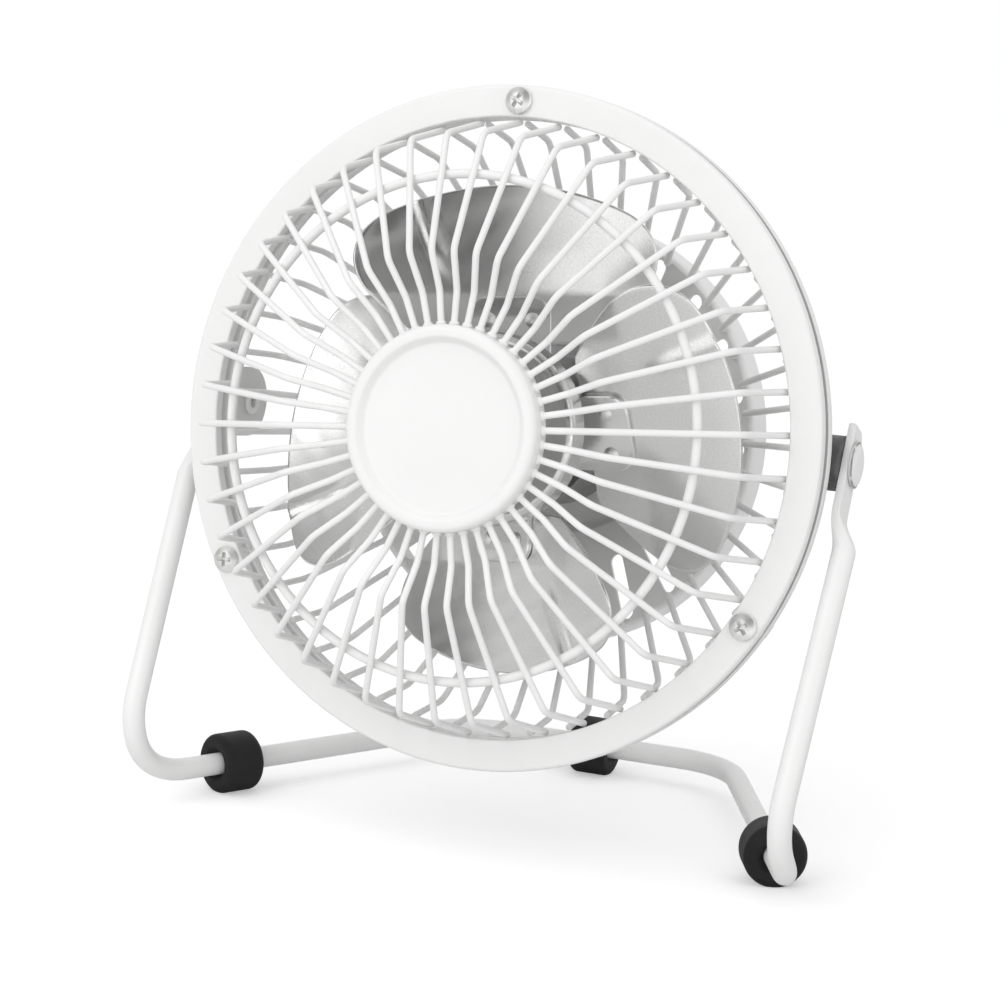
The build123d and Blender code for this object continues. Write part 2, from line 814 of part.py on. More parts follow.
def armature_core():
    """Stacked iron core with one neck and one shoe for each pole."""
    core = rod_along_y(armature_core_radius, armature_front_depth, armature_back_depth)
    neck = block(
        (armature_core_radius - 1, shoe_inner_radius + pole_shoe_thickness / 2),
        (armature_front_depth, armature_back_depth),
        (-pole_neck / 2, pole_neck / 2),
    )
    shoe = sector(shoe_inner_radius, armature_radius, armature_front_depth, armature_back_depth, pole_shoe_span)
    pole = neck + shoe
    core = core + [spun(index * 360 / pole_count, pole) for index in range(pole_count)]
    bore = rod_along_y(shaft_radius + press_gap, armature_front_depth - 1, armature_back_depth + 1)
    return core - bore


def coil():
    """One winding, wound round a pole neck."""
    inner_half = pole_neck / 2 + weld_gap
    outer_half = inner_half + coil_wall
    outer_radius = math.sqrt(shoe_inner_radius ** 2 - outer_half ** 2) - weld_gap
    radii = (coil_inner_radius, outer_radius)
    front = armature_front_depth - weld_gap
    back = armature_back_depth + weld_gap
    winding = block(radii, (front - coil_overhang, back + coil_overhang), (-outer_half, outer_half))
    corners = winding.edges().filter_by(Axis.X)
    winding = chamfer(corners, coil_overhang * 0.8)
    opening = block((coil_inner_radius - 1, outer_radius + 1), (front, back), (-inner_half, inner_half))
    return winding - opening


def commutator():
    """Copper commutator behind the armature."""
    start = armature_back_depth + coil_overhang
    barrel = rod_along_y(commutator_radius, start, start + commutator_length)
    return barrel - rod_along_y(shaft_radius + press_gap, start - 1, start + commutator_length + 1)


def brush():
    """Leaf brush that stands on the end cap beside the commutator."""
    inner = commutator_radius + brush_gap
    start = armature_back_depth + coil_overhang + brush_setback
    return block(
        (inner, inner + brush_thickness),
        (start, end_cap_depth - contact_gap),
        (-brush_width / 2, brush_width / 2),
    )


def motor_bracket():
    """Sheet bracket behind the motor, with three legs welded to the bowl."""
    plate = rod_along_y(motor_bracket_radius, bracket_front, bracket_back)
    half = motor_bracket_arm_width / 2
    leg_end = cone_depth(math.hypot(motor_bracket_leg_radius, half)) - weld_gap
    arm = block(
        (motor_bracket_radius - motor_bracket_arm_lap, motor_bracket_leg_radius),
        (bracket_front, bracket_back),
        (-half, half),
    )
    leg = block(
        (motor_bracket_leg_radius - motor_bracket_sheet, motor_bracket_leg_radius),
        (bracket_front, leg_end),
        (-half, half),
    )
    plate = plate + [spun(angle, arm + leg) for angle in screw_angles]
    bore = rod_along_y(bearing_radius + 1, bracket_front - 1, bracket_back + 1)
    hole = rod_along_y(motor_screw_radius + screw_hole_clearance, bracket_front - 1, bracket_back + 1)
    return plate - bore - at_motor_screws(hole)


def motor_screw():
    """Screw from behind the bracket into the motor's end cap."""
    head_front = bracket_back + contact_gap
    shank = rod_along_y(motor_screw_radius, end_cap_depth + 0.3, head_front + 0.5)
    return shank + rod_along_y(motor_screw_head_radius, head_front, head_front + motor_screw_head_height)


magnet_start = motor_front_depth + motor_sheet + magnet_inset
magnet = sector(
    magnet_inner_radius, magnet_outer_radius, magnet_start, magnet_start + magnet_length, magnet_span
)
save_on_head("motor_can", motor_can())
save_on_head("motor_end_cap", end_cap())
save_on_head("motor_front_bearing", bearing(motor_front_depth - front_bearing_overhang))
save_on_head("motor_rear_bearing", bearing(end_cap_depth))
save_on_head("motor_magnets", spun(90, magnet), spun(270, magnet))
save_on_head("armature_core", armature_core())
save_on_head("armature_coils", *[spun(index * 360 / pole_count, coil()) for index in range(pole_count)])
save_on_head("commutator", commutator())
save_on_head("motor_brushes", *left_right(brush()))
save_on_head("motor_bracket", motor_bracket())
save_on_head("motor_screws", *at_motor_screws(motor_screw()))

# Switch and cord inlet on the back of the bowl
back_face = bowl_back_depth + bowl_sheet
bezel_front = back_face + contact_gap
bezel_face = bezel_front + bezel_thickness
rocker_pivot = bezel_face - rocker_pivot_depth
rocker_half = rocker_tall / 2
switch_place = Pos(0, 0, switch_height)
rocker_place = Pos(0, rocker_pivot, switch_height)


def switch_body():
    """Snap-in switch case with a bezel and a well for the rocker."""
    front = bowl_back_depth - switch_body_depth
    half_width = switch_width / 2
    half_tall = switch_tall / 2
    case = block((-half_width, half_width), (front, bezel_front + 0.5), (-half_tall, half_tall))
    wide = half_width + bezel_margin
    tall = half_tall + bezel_margin
    bezel = block((-wide, wide), (bezel_front, bezel_face), (-tall, tall))
    well_half = rocker_half + rocker_well_margin
    well_width = rocker_width / 2 + rocker_gap
    well = block(
        (-well_width, well_width),
        (rocker_pivot - rocker_keel - rocker_well_margin, bezel_face + 1),
        (-well_half, well_half),
    )
    pin_end = rocker_width / 2 + rocker_pin_reach + running_gap
    pin_hole = rod_along_x(rocker_pin_radius + running_gap, -pin_end, pin_end)
    return switch_place * ((case + bezel) - well - Pos(0, rocker_pivot, 0) * pin_hole)


def switch_rocker():
    """Rocker with a shallow V face, stored with its lower end pressed in."""
    half_width = rocker_width / 2
    profile = make_face(Polyline(
        (rocker_end_rise, rocker_half),
        (rocker_end_rise - rocker_dip, 0),
        (rocker_end_rise, -rocker_half),
        (rocker_end_rise * 0.3, -rocker_half),
        (-rocker_keel, -rocker_half * 0.42),
        (-rocker_keel, rocker_half * 0.42),
        (rocker_end_rise * 0.3, rocker_half),
        close=True,
    ))
    face = Plane(origin=(0, 0, 0), x_dir=(0, 1, 0), z_dir=(1, 0, 0)) * profile
    body = extrude(face, half_width, both=True)
    pin_end = half_width + rocker_pin_reach
    body = body + rod_along_x(rocker_pin_radius, -pin_end, pin_end)
    return rocker_place * Rot(-rocker_swing, 0, 0) * body


def switch_terminal():
    """Solder tab at the front of the switch case, inside the bowl."""
    start = bowl_back_depth - switch_body_depth
    return block(
        (-terminal_width / 2, terminal_width / 2),
        (start - terminal_length, start - contact_gap),
        (-terminal_thickness / 2, terminal_thickness / 2),
    )


def cord_grommet():
    """Rubber sleeve in the cord hole."""
    neck_radius = grommet_hole_radius - press_gap
    flange_front = back_face + contact_gap
    flange_back = flange_front + grommet_flange_thickness
    neck_front = bowl_back_depth - grommet_flange_thickness
    sleeve = turned(
        (grommet_bore_radius, neck_front),
        (neck_radius, neck_front),
        (neck_radius, flange_front),
        (grommet_flange_radius, flange_front),
        (grommet_flange_radius, flange_back),
        (grommet_bore_radius, flange_back),
    )
    return Pos(0, 0, -grommet_drop) * sleeve


save_on_head("switch_body", switch_body())
save_on_head("switch_rocker", switch_rocker())
terminal_places = [switch_place * Pos(0, 0, side * terminal_spread) for side in (1, -1)]
save_on_head("switch_terminals", *[place * switch_terminal() for place in terminal_places])
save_on_head("cord_grommet", cord_grommet())
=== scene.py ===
"""Dressed model of a small tilting desk fan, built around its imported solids."""
from __future__ import annotations

import logging
import math
from dataclasses import dataclass, field
from enum import Enum
from typing import Sequence

import bmesh
import bpy
from mathutils import Matrix, Vector


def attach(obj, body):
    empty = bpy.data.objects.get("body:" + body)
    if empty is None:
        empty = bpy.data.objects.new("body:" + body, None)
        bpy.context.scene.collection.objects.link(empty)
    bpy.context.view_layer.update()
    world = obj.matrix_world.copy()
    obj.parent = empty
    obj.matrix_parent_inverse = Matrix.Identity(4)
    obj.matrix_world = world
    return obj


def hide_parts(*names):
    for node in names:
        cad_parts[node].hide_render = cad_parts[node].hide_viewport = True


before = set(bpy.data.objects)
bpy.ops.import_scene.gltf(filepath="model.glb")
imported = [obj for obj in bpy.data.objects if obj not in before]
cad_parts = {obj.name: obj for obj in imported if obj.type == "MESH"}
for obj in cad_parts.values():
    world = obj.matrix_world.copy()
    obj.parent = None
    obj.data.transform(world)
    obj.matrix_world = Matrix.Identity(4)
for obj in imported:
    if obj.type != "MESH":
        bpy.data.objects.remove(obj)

Colour = tuple[float, float, float]
Corner = tuple[float, float, float]
Flat = tuple[float, float]
Ramp = tuple[float, float, float, float]
Node = bpy.types.Node
Piece = bpy.types.Object
Shape = bmesh.types.BMesh
Socket = bpy.types.NodeSocket

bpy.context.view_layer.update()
LOG = logging.getLogger("desk_fan")
MM = 0.001
CLEARANCE = 0.05  # millimetres between pieces that touch
BEND_LEAD = 0.12  # share of a bend's radius
AXIS_LIMIT = 1e-6
DOUBLE_LIMIT = 2e-6  # metres between points that become one
UV_LENGTH = 0.1  # metres of outline in one unit of the UV map
CREASE = 40.0  # degrees
# name of the mesh attribute that marks where painted shade darkens a coat
PAINTED_SHADE_ATTRIBUTE = "painted_shade"
FINE_LAYERS, CLOUD_LAYERS, STREAK_LAYERS = 2.0, 3.0, 4.0
WIRE_SIDES, WIRE_BEND_STEPS = 12, 7
BEAD_SIDES, BEAD_RINGS = 10, 6


class Body(Enum):
    """Moving bodies of the fan."""

    STAND = "stand"
    HEAD = "head"
    ROTOR = "rotor"
    ROCKER = "rocker"


class Slot(Enum):
    """Material slots of the record, passed with each finished piece."""

    WHITE_PAINT = "white_paint"
    BRIGHT_STEEL = "bright_steel"
    BLACK_RUBBER = "black_rubber"
    SATIN_ALUMINIUM = "satin_aluminium"
    BLACK_PLASTIC = "black_plastic"


class Grain(Enum):
    """What a metal's brushing follows."""

    UV = "UV"
    OBJECT = "Object"


class Sketch:
    """Lays out the nodes of one tree."""

    def __init__(self, tree: bpy.types.NodeTree) -> None:
        """Takes the tree that gets the nodes."""
        self.tree = tree

    def link(self, source: Socket, target: Socket) -> None:
        """Joins two sockets."""
        self.tree.links.new(source, target)

    def add(self, kind: str, *links: tuple[str | int, Socket], **values: object) -> Node:
        """Adds a node.

        Args:
            kind: Blender's node type.
            *links: Names or numbers of inputs, with the sockets that feed them.
            **values: Input values by name, with underscores for spaces.
        Returns:
            The new node.
        """
        node = self.tree.nodes.new(kind)
        for name, value in values.items():
            node.inputs[name.replace("_", " ")].default_value = value
        for name, source in links:
            self.link(source, node.inputs[name])
        return node

    def feed(self, source: Socket | float, target: Socket) -> None:
        """Sets an input to a number or joins it to a socket.

        Args:
            source: The number or the socket.
            target: The input.
        """
        if isinstance(source, float):
            target.default_value = source
        else:
            self.link(source, target)

    def maths(self, operation: str, first: Socket, second: Socket | float = 0.0) -> Socket:
        """Adds one sum.

        Args:
            operation: Blender's name of the operation.
            first: Socket of the first number.
            second: Socket or value of the second number, where there is one.
        Returns:
            Socket with the result.
        """
        node = self.add("ShaderNodeMath", (0, first))
        node.operation = operation
        self.feed(second, node.inputs[1])
        return node.outputs[0]


class ShadeSketch(Sketch):
    """Lays out the shading of a material or of the world."""

    def __init__(self, owner: bpy.types.Material | bpy.types.World) -> None:
        """Takes the owner of the shading and empties its tree.

        Args:
            owner: Material or world that gets the shading.
        """
        owner.use_nodes = True
        super().__init__(owner.node_tree)
        self.owner = owner
        self.tree.nodes.clear()

    def ramp(self, source: Socket, low: float, high: float, start: float = 0.3, end: float = 0.7) -> Socket:
        """Maps a value, so that start gives low and end gives high."""
        node = self.add("ShaderNodeMapRange", ("Value", source), From_Min=start, From_Max=end, To_Min=low, To_Max=high)
        return node.outputs["Result"]

    def along(self, vector: Socket, direction: Corner) -> Socket:
        """How far a vector reaches along a direction.

        Args:
            vector: Socket with the vector.
            direction: The direction.
        Returns:
            Socket with the distance.
        """
        node = self.add("ShaderNodeVectorMath", (0, vector))
        node.operation = "DOT_PRODUCT"
        node.inputs[1].default_value = direction
        return node.outputs["Value"]

    def choose(self, factor: Socket, first: Socket, second: Socket | float) -> Socket:
        """Mixes two numbers.

        Args:
            factor: Socket that gives the share of the second number.
            first: Number at factor zero.
            second: Number at factor one.
        Returns:
            Socket with the mixed number.
        """
        node = self.add("ShaderNodeMix", (0, factor), (2, first))
        self.feed(second, node.inputs[3])
        return node.outputs[0]

    def blend(self, factor: Socket, first: Colour | Socket, second: Colour) -> Socket:
        """Mixes two colours.

        Args:
            factor: Socket that gives the share of the second colour.
            first: Colour at factor zero, or the socket that gives it.
            second: Colour at factor one.
        Returns:
            Socket with the mixed colour.
        """
        node = self.tree.nodes.new("ShaderNodeMix")
        node.data_type = "RGBA"
        if isinstance(first, tuple):
            node.inputs[6].default_value = (*first, 1.0)
        else:
            self.link(first, node.inputs[6])
        node.inputs[7].default_value = (*second, 1.0)
        self.link(factor, node.inputs[0])
        return node.outputs[2]

    def noise(self, vector: Socket, scale: float, detail: float) -> Socket:
        """Adds a noise texture with a number of features in each unit and a number of finer layers."""
        return self.add("ShaderNodeTexNoise", ("Vector", vector), Scale=scale, Detail=detail).outputs["Fac"]

    def bump(self, height: Socket, strength: float, distance: float) -> Socket:
        """Bends the normal by a height, with a share of the effect and the bump's height in metres."""
        return self.add("ShaderNodeBump", ("Height", height), Strength=strength, Distance=distance).outputs["Normal"]

    def finish(self, shader: Node, kind: str = "ShaderNodeOutputMaterial") -> bpy.types.Material | bpy.types.World:
        """Joins the shader to an output of the given kind and gives back the owner."""
        self.add(kind, ("Surface", shader.outputs[0]))
        return self.owner


@dataclass(frozen=True)
class Finish:
    """Looks of one surface, between a colour and its shade."""

    name: str
    colour: Colour
    shade: Colour
    roughness: Flat

    def material(self) -> bpy.types.Material:
        """The finish as a material, made once.

        Returns:
            The material.
        """
        if self.name not in bpy.data.materials:
            sketch = ShadeSketch(bpy.data.materials.new(self.name))
            sketch.finish(self.shader(sketch))
        return bpy.data.materials[self.name]

    def shader(self, sketch: ShadeSketch) -> Node:
        """Lays out the finish, in the way of each kind of surface."""
        raise NotImplementedError


@dataclass(frozen=True)
class CoatFinish(Finish):
    """Paint, rubber or moulded plastic: a coloured surface with a fine skin texture."""

    skin_scale: float
    skin_depth: float
    cloud_scale: float
    specular: float = 0.5
    skin_strength: float = 0.35
    # colour of the painted shade that darkens a coat where the attribute is set
    painted_shade: Colour = (0.16, 0.16, 0.15)

    def shader(self, sketch: ShadeSketch) -> Node:
        """Lays out the coat, darkened towards a painted shade colour where a mesh carries the painted-shade attribute.

        Args:
            sketch: Sketch of the material.
        Returns:
            The shader.
        """
        place = sketch.add("ShaderNodeTexCoord").outputs["Object"]
        cloud = sketch.noise(place, self.cloud_scale, CLOUD_LAYERS)
        skin_height = sketch.noise(place, self.skin_scale, FINE_LAYERS)
        # painted shade: the attribute's value mixes the coat towards the shade colour
        painted_shade = sketch.add("ShaderNodeAttribute")
        painted_shade.attribute_name = PAINTED_SHADE_ATTRIBUTE
        coat = sketch.blend(sketch.ramp(cloud, 0.0, 1.0), self.colour, self.shade)
        return sketch.add(
            "ShaderNodeBsdfPrincipled",
            ("Base Color", sketch.blend(painted_shade.outputs["Fac"], coat, self.painted_shade)),
            ("Roughness", sketch.ramp(cloud, *self.roughness)),
            ("Normal", sketch.bump(skin_height, self.skin_strength, self.skin_depth)),
            Specular_IOR_Level=self.specular)


@dataclass(frozen=True)
class MetalFinish(Finish):
    """Bare metal with brushing, rolling or turning marks."""

    grain: Grain
    stretch: Corner
    grain_scale: float
    grain_depth: float
    anisotropy: float = 0.0
    grain_strength: float = 0.3
    speckle_ratio: float = 2.3

    def shader(self, sketch: ShadeSketch) -> Node:
        """Lays out the metal with its streaks and speckles.

        Args:
            sketch: Sketch of the material.
        Returns:
            The shader.
        """
        place = sketch.add("ShaderNodeTexCoord").outputs[self.grain.value]
        mapping = sketch.add("ShaderNodeMapping", ("Vector", place), Scale=self.stretch)
        streak = sketch.noise(mapping.outputs["Vector"], self.grain_scale, STREAK_LAYERS)
        speckle = sketch.noise(place, self.grain_scale * self.speckle_ratio, FINE_LAYERS)
        return sketch.add(
            "ShaderNodeBsdfPrincipled",
            ("Base Color", sketch.blend(sketch.ramp(streak, 0.0, 1.0), self.colour, self.shade)),
            ("Roughness", sketch.ramp(speckle, *self.roughness)),
            ("Normal", sketch.bump(streak, self.grain_strength, self.grain_depth)),
            Metallic=1.0, Anisotropic=self.anisotropy)


WHITE_COAT = CoatFinish(
    "white_powder_coat", (0.905, 0.905, 0.9), (0.885, 0.885, 0.88), (0.3, 0.38), 1400.0, 2.5e-5, 40.0, 0.4)
# painted shade: a darker copy of the white coat, for the pivot brackets that sit in shade inside the guard
SHADED_WHITE_COAT = CoatFinish(
    "white_coat_painted_shade", (0.78, 0.78, 0.77), (0.73, 0.73, 0.72), (0.36, 0.46), 1300.0, 2.5e-5, 45.0)
RUBBER = CoatFinish(
    "black_foot_rubber", (0.012, 0.012, 0.013), (0.02, 0.02, 0.021), (0.5, 0.68), 2200.0, 6e-5, 160.0, 0.25)
PLASTIC = CoatFinish(
    "black_switch_plastic", (0.022, 0.022, 0.023), (0.03, 0.03, 0.03), (0.4, 0.52), 3000.0, 2e-5, 120.0)
BUSH_PLASTIC = CoatFinish(
    "grey_bush_plastic", (0.13, 0.13, 0.13), (0.08, 0.08, 0.08), (0.45, 0.6), 1800.0, 5e-5, 400.0)
FERRITE = CoatFinish(
    "dull_ferrite", (0.06, 0.06, 0.065), (0.08, 0.08, 0.08), (0.6, 0.75), 2600.0, 4e-5, 200.0)
SHEET_METAL = MetalFinish(
    "rolled_aluminium", (0.84, 0.84, 0.835), (0.74, 0.74, 0.735), (0.18, 0.27),
    Grain.UV, (60.0, 90.0, 1.0), 3.0, 5e-6)
SPUN_METAL = MetalFinish(
    "spun_aluminium", (0.72, 0.72, 0.715), (0.62, 0.62, 0.615), (0.2, 0.3),
    Grain.UV, (1.0, 300.0, 1.0), 1.0, 6e-6, 0.4)
SCREW_STEEL = MetalFinish(
    "bright_zinc", (0.9, 0.9, 0.89), (0.82, 0.82, 0.81), (0.4, 0.52),
    Grain.OBJECT, (1.0, 1.0, 1.0), 900.0, 8e-6)
CASE_STEEL = MetalFinish(
    "plated_case_steel", (0.5, 0.5, 0.5), (0.4, 0.4, 0.4), (0.28, 0.42),
    Grain.OBJECT, (1.0, 0.15, 1.0), 700.0, 8e-6)
BRONZE = MetalFinish(
    "sintered_bronze", (0.52, 0.36, 0.18), (0.44, 0.29, 0.14), (0.35, 0.5),
    Grain.OBJECT, (1.0, 1.0, 1.0), 1500.0, 1e-5)
COPPER = MetalFinish(
    "winding_copper", (0.6, 0.25, 0.11), (0.5, 0.19, 0.08), (0.3, 0.42),
    Grain.OBJECT, (0.2, 1.0, 1.0), 2500.0, 2e-5)


def shift(x: float = 0.0, y: float = 0.0, z: float = 0.0) -> Matrix:
    """Matrix that moves by millimetres."""
    return Matrix.Translation((x * MM, y * MM, z * MM))


def rounded_outline(corners: Sequence[Corner], closed: bool, steps: int = 5) -> list[Vector]:
    """Rounds the corners of a flat outline.

    Args:
        corners: Corners as (across, along, bend radius) in millimetres.
        closed: Whether the last corner runs on to the first.
        steps: Straight pieces in each bend.
    Returns:
        Points of the outline, with a short lead beside each bend that keeps flat sides flat.
    """
    points: list[Vector] = []
    count = len(corners)
    for index, (across, along, bend) in enumerate(corners):
        here = Vector((across, along))
        if bend <= 0.0 or (not closed and index in (0, count - 1)):
            points.append(here)
            continue
        before = (Vector(corners[index - 1][:2]) - here).normalized()
        after = (Vector(corners[(index + 1) % count][:2]) - here).normalized()
        half = before.angle(after) / 2.0
        reach = bend / math.tan(half)
        centre = here + (before + after).normalized() * (bend / math.sin(half))
        start = here + before * reach - centre
        sweep = start.angle_signed(here + after * reach - centre)
        points.append(here + before * (reach + BEND_LEAD * bend))
        for step in range(steps + 1):
            points.append(centre + Matrix.Rotation(-sweep * step / steps, 2) @ start)
        points.append(here + after * (reach + BEND_LEAD * bend))
    return points


def rounded_route(points: Sequence[Vector], bends: Sequence[float], steps: int) -> list[tuple[Vector, Vector]]:
    """Bends a bar's centre line through its corner points.

    Args:
        points: Ends and corners of the line in millimetres.
        bends: Bend radius at each inner corner.
        steps: Straight pieces in each bend.
    Returns:
        Pairs of a place and the direction of the line there.
    """
    route = [(points[0], (points[1] - points[0]).normalized())]
    for before, corner, after, bend in zip(points, points[1:], points[2:], bends):
        back = (before - corner).normalized()
        ahead = (after - corner).normalized()
        half = back.angle(ahead) / 2.0
        centre = corner + (back + ahead).normalized() * (bend / math.sin(half))
        start = corner + back * (bend / math.tan(half)) - centre
        axis = (-back).cross(ahead)
        for step in range(steps + 1):
            turn = Matrix.Rotation((math.pi - 2.0 * half) * step / steps, 3, axis)
            route.append((centre + turn @ start, turn @ -back))
    route.append((points[-1], (points[-1] - points[-2]).normalized()))
    return route


def lathe(profile: Sequence[Vector], segments: int, closed: bool) -> Shape:
    """Turns a (radius, depth) outline about the Y axis.

    Args:
        profile: Outline in millimetres.
        segments: Steps round the axis.
        closed: Whether the outline's end runs on to its start.
    Returns:
        Mesh in metres with turning coordinates in its UV map.
    """
    shape = bmesh.new()
    uv = shape.loops.layers.uv.new("turning")
    length = [0.0]
    for first, second in zip(profile, profile[1:]):
        length.append(length[-1] + (second - first).length * MM)
    turns = [2.0 * math.pi * step / segments for step in range(segments)]
    rings = []
    for radius, depth in profile:
        if radius < AXIS_LIMIT:
            rings.append([shape.verts.new((0.0, depth * MM, 0.0))] * segments)
            continue
        rings.append([
            shape.verts.new((radius * MM * math.cos(turn), depth * MM, radius * MM * math.sin(turn)))
            for turn in turns])
    pairs = [(index, index + 1) for index in range(len(rings) - 1)]
    if closed:
        pairs.append((len(rings) - 1, 0))
    for low, high in pairs:
        for step in range(segments):
            following = (step + 1) % segments
            corners = [(rings[low][step], step, low), (rings[low][following], step + 1, low),
                       (rings[high][following], step + 1, high), (rings[high][step], step, high)]
            kept = [corner for number, corner in enumerate(corners) if corner[0] is not corners[number - 1][0]]
            if len(kept) < 3:
                continue
            face = shape.faces.new([vertex for vertex, _, _ in kept])
            for loop, (_, turn, ring) in zip(face.loops, kept):
                loop[uv].uv = (turn / segments, length[ring] / UV_LENGTH)
    bmesh.ops.recalc_face_normals(shape, faces=shape.faces)
    return shape


def skin(rings: Sequence[Sequence[Vector]]) -> Shape:
    """Stretches faces over a row of rings of equal count and caps both ends.

    Args:
        rings: Rings of points in millimetres.
    Returns:
        Mesh in metres.
    """
    shape = bmesh.new()
    made = [[shape.verts.new(point * MM) for point in ring] for ring in rings]
    count = len(made[0])
    for low, high in zip(made, made[1:]):
        for step in range(count):
            following = (step + 1) % count
            shape.faces.new((low[step], low[following], high[following], high[step]))
    shape.faces.new(made[0])
    shape.faces.new(made[-1])
    bmesh.ops.recalc_face_normals(shape, faces=shape.faces)
    return shape


def place_mesh(name: str, mesh: bpy.types.Mesh) -> Piece:
    """Puts a mesh in the scene as a new object.

    Args:
        name: Name of the object.
        mesh: Its mesh.
    Returns:
        The new object.
    """
    made = bpy.data.objects.new(name, mesh)
    bpy.context.scene.collection.objects.link(made)
    return made


def discard(piece: Piece) -> None:
    """Removes an object with its mesh.

    Args:
        piece: Object that is used up.
    """
    mesh = piece.data
    bpy.data.objects.remove(piece)
    bpy.data.meshes.remove(mesh)


def smooth(mesh: bpy.types.Mesh, crease: float) -> None:
    """Shades a mesh smooth, with edges sharp past an angle in degrees."""
    mesh.shade_smooth()
    mesh.set_sharp_from_angle(angle=math.radians(crease))


def as_object(name: str, shape: Shape, crease: float = CREASE) -> Piece:
    """Makes an object from a mesh under construction.

    Args:
        name: Name of the piece.
        shape: Mesh in metres, used up by this call.
        crease: Angle in degrees past which an edge stays sharp.
    Returns:
        The new object, linked to the scene.
    """
    mesh = bpy.data.meshes.new(name)
    shape.to_mesh(mesh)
    shape.free()
    smooth(mesh, crease)
    return place_mesh(name, mesh)


def turned(name: str, corners: Sequence[Corner], segments: int, closed: bool = False,
           steps: int = 5, crease: float = CREASE) -> Piece:
    """Makes an object by turning an outline of (radius, depth, bend radius) corners about the Y axis."""
    return as_object(name, lathe(rounded_outline(corners, closed, steps), segments, closed), crease)


def make_plain(piece: Piece) -> None:
    """Turns a piece's modifiers into its own mesh and removes them.

    Args:
        piece: Object with modifiers.
    """
    view = bpy.context.evaluated_depsgraph_get()
    mesh = bpy.data.meshes.new_from_object(piece.evaluated_get(view))
    piece.modifiers.clear()
    old = piece.data
    piece.data = mesh
    bpy.data.meshes.remove(old)


def join(name: str, pieces: Sequence[Piece]) -> Piece:
    """Joins pieces of one finish into one object.

    Args:
        name: Name of the joined piece.
        pieces: Objects at the origin, used up by this call.
    Returns:
        The joined object.
    """
    shape = bmesh.new()
    for piece in pieces:
        shape.from_mesh(piece.data)
    mesh = bpy.data.meshes.new(name)
    shape.to_mesh(mesh)
    shape.free()
    for piece in pieces:
        discard(piece)
    return place_mesh(name, mesh)


def subtract(piece: Piece, cutter: Piece, crease: float) -> None:
    """Cuts one mesh out of another and removes the cutter.

    Args:
        piece: Object that is cut.
        cutter: Closed mesh that is taken away.
        crease: Angle in degrees past which an edge stays sharp.
    """
    cut = piece.modifiers.new("cut", "BOOLEAN")
    cut.operation = "DIFFERENCE"
    cut.solver = "EXACT"
    cut.object = cutter
    make_plain(piece)
    smooth(piece.data, crease)
    discard(cutter)


def present(piece: Piece, body: Body, slot: Slot, finish: Finish, *nodes: str) -> None:
    """Dresses a finished piece, parents it to its body and hides the solids it stands for.

    Args:
        piece: The finished piece, at the origin.
        body: Body that it moves with.
        slot: Not used.
        finish: Its finish.
        *nodes: Solids that it stands for.
    """
    piece.data.materials.clear()
    piece.data.materials.append(finish.material())
    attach(piece, body.value)
    if nodes:
        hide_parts(*nodes)
    LOG.info("%s: %d faces on %s", piece.name, len(piece.data.polygons), body.value)


class TreeSketch(Sketch):
    """Lays out one Geometry Nodes tree that sets copies of a piece round the fan axis."""

    def __init__(self, name: str, **inputs: str) -> None:
        """Starts a tree.

        Args:
            name: Name of the tree.
            **inputs: Kinds of its further inputs by name, with underscores for spaces.
        """
        super().__init__(bpy.data.node_groups.new(name, "GeometryNodeTree"))
        self.keys: dict[str, str] = {}
        every = {"Geometry": "Geometry", "Count": "Int", "Start": "Float", "Finish": "Material", **inputs}
        sockets = self.tree.interface
        for title, kind in every.items():
            made = sockets.new_socket(title.replace("_", " "), in_out="INPUT", socket_type="NodeSocket" + kind)
            self.keys[title] = made.identifier
        sockets.new_socket("Geometry", in_out="OUTPUT", socket_type="NodeSocketGeometry")
        self.given = self.tree.nodes.new("NodeGroupInput")

    def around(self, piece: Socket) -> None:
        """Sets copies of a piece round the Y axis and ends the tree.

        Args:
            piece: Socket with the piece at angle zero.
        """
        given = self.given.outputs
        points = self.add("GeometryNodePoints", ("Count", given["Count"]))
        index = self.add("GeometryNodeInputIndex").outputs[0]
        turn = self.maths("MULTIPLY", self.maths("DIVIDE", index, given["Count"]), -2.0 * math.pi)
        spin = self.add("ShaderNodeCombineXYZ", ("Y", self.maths("SUBTRACT", turn, given["Start"])))
        copies = self.add(
            "GeometryNodeInstanceOnPoints", ("Points", points.outputs[0]), ("Instance", piece),
            ("Rotation", spin.outputs[0]))
        real = self.add("GeometryNodeRealizeInstances", ("Geometry", copies.outputs[0]))
        dressed = self.add(
            "GeometryNodeSetMaterial", ("Geometry", real.outputs[0]), ("Material", given["Finish"]))
        self.add("NodeGroupOutput", (0, dressed.outputs[0]))

    def apply(self, piece: Piece, **values: object) -> None:
        """Runs the tree on a piece and keeps the result as its mesh.

        Args:
            piece: Object with the mesh that the tree starts from.
            **values: Input values by name, with underscores for spaces.
        """
        modifier = piece.modifiers.new("pattern", "NODES")
        modifier.node_group = self.tree
        for name, value in values.items():
            modifier[self.keys[name]] = value
        make_plain(piece)


def ring_pattern() -> TreeSketch:
    """Tree that repeats a piece round the fan axis, such as screws, rivets and slots.

    Returns:
        The finished tree.
    """
    sketch = TreeSketch("ring_pattern")
    sketch.around(sketch.given.outputs["Geometry"])
    return sketch


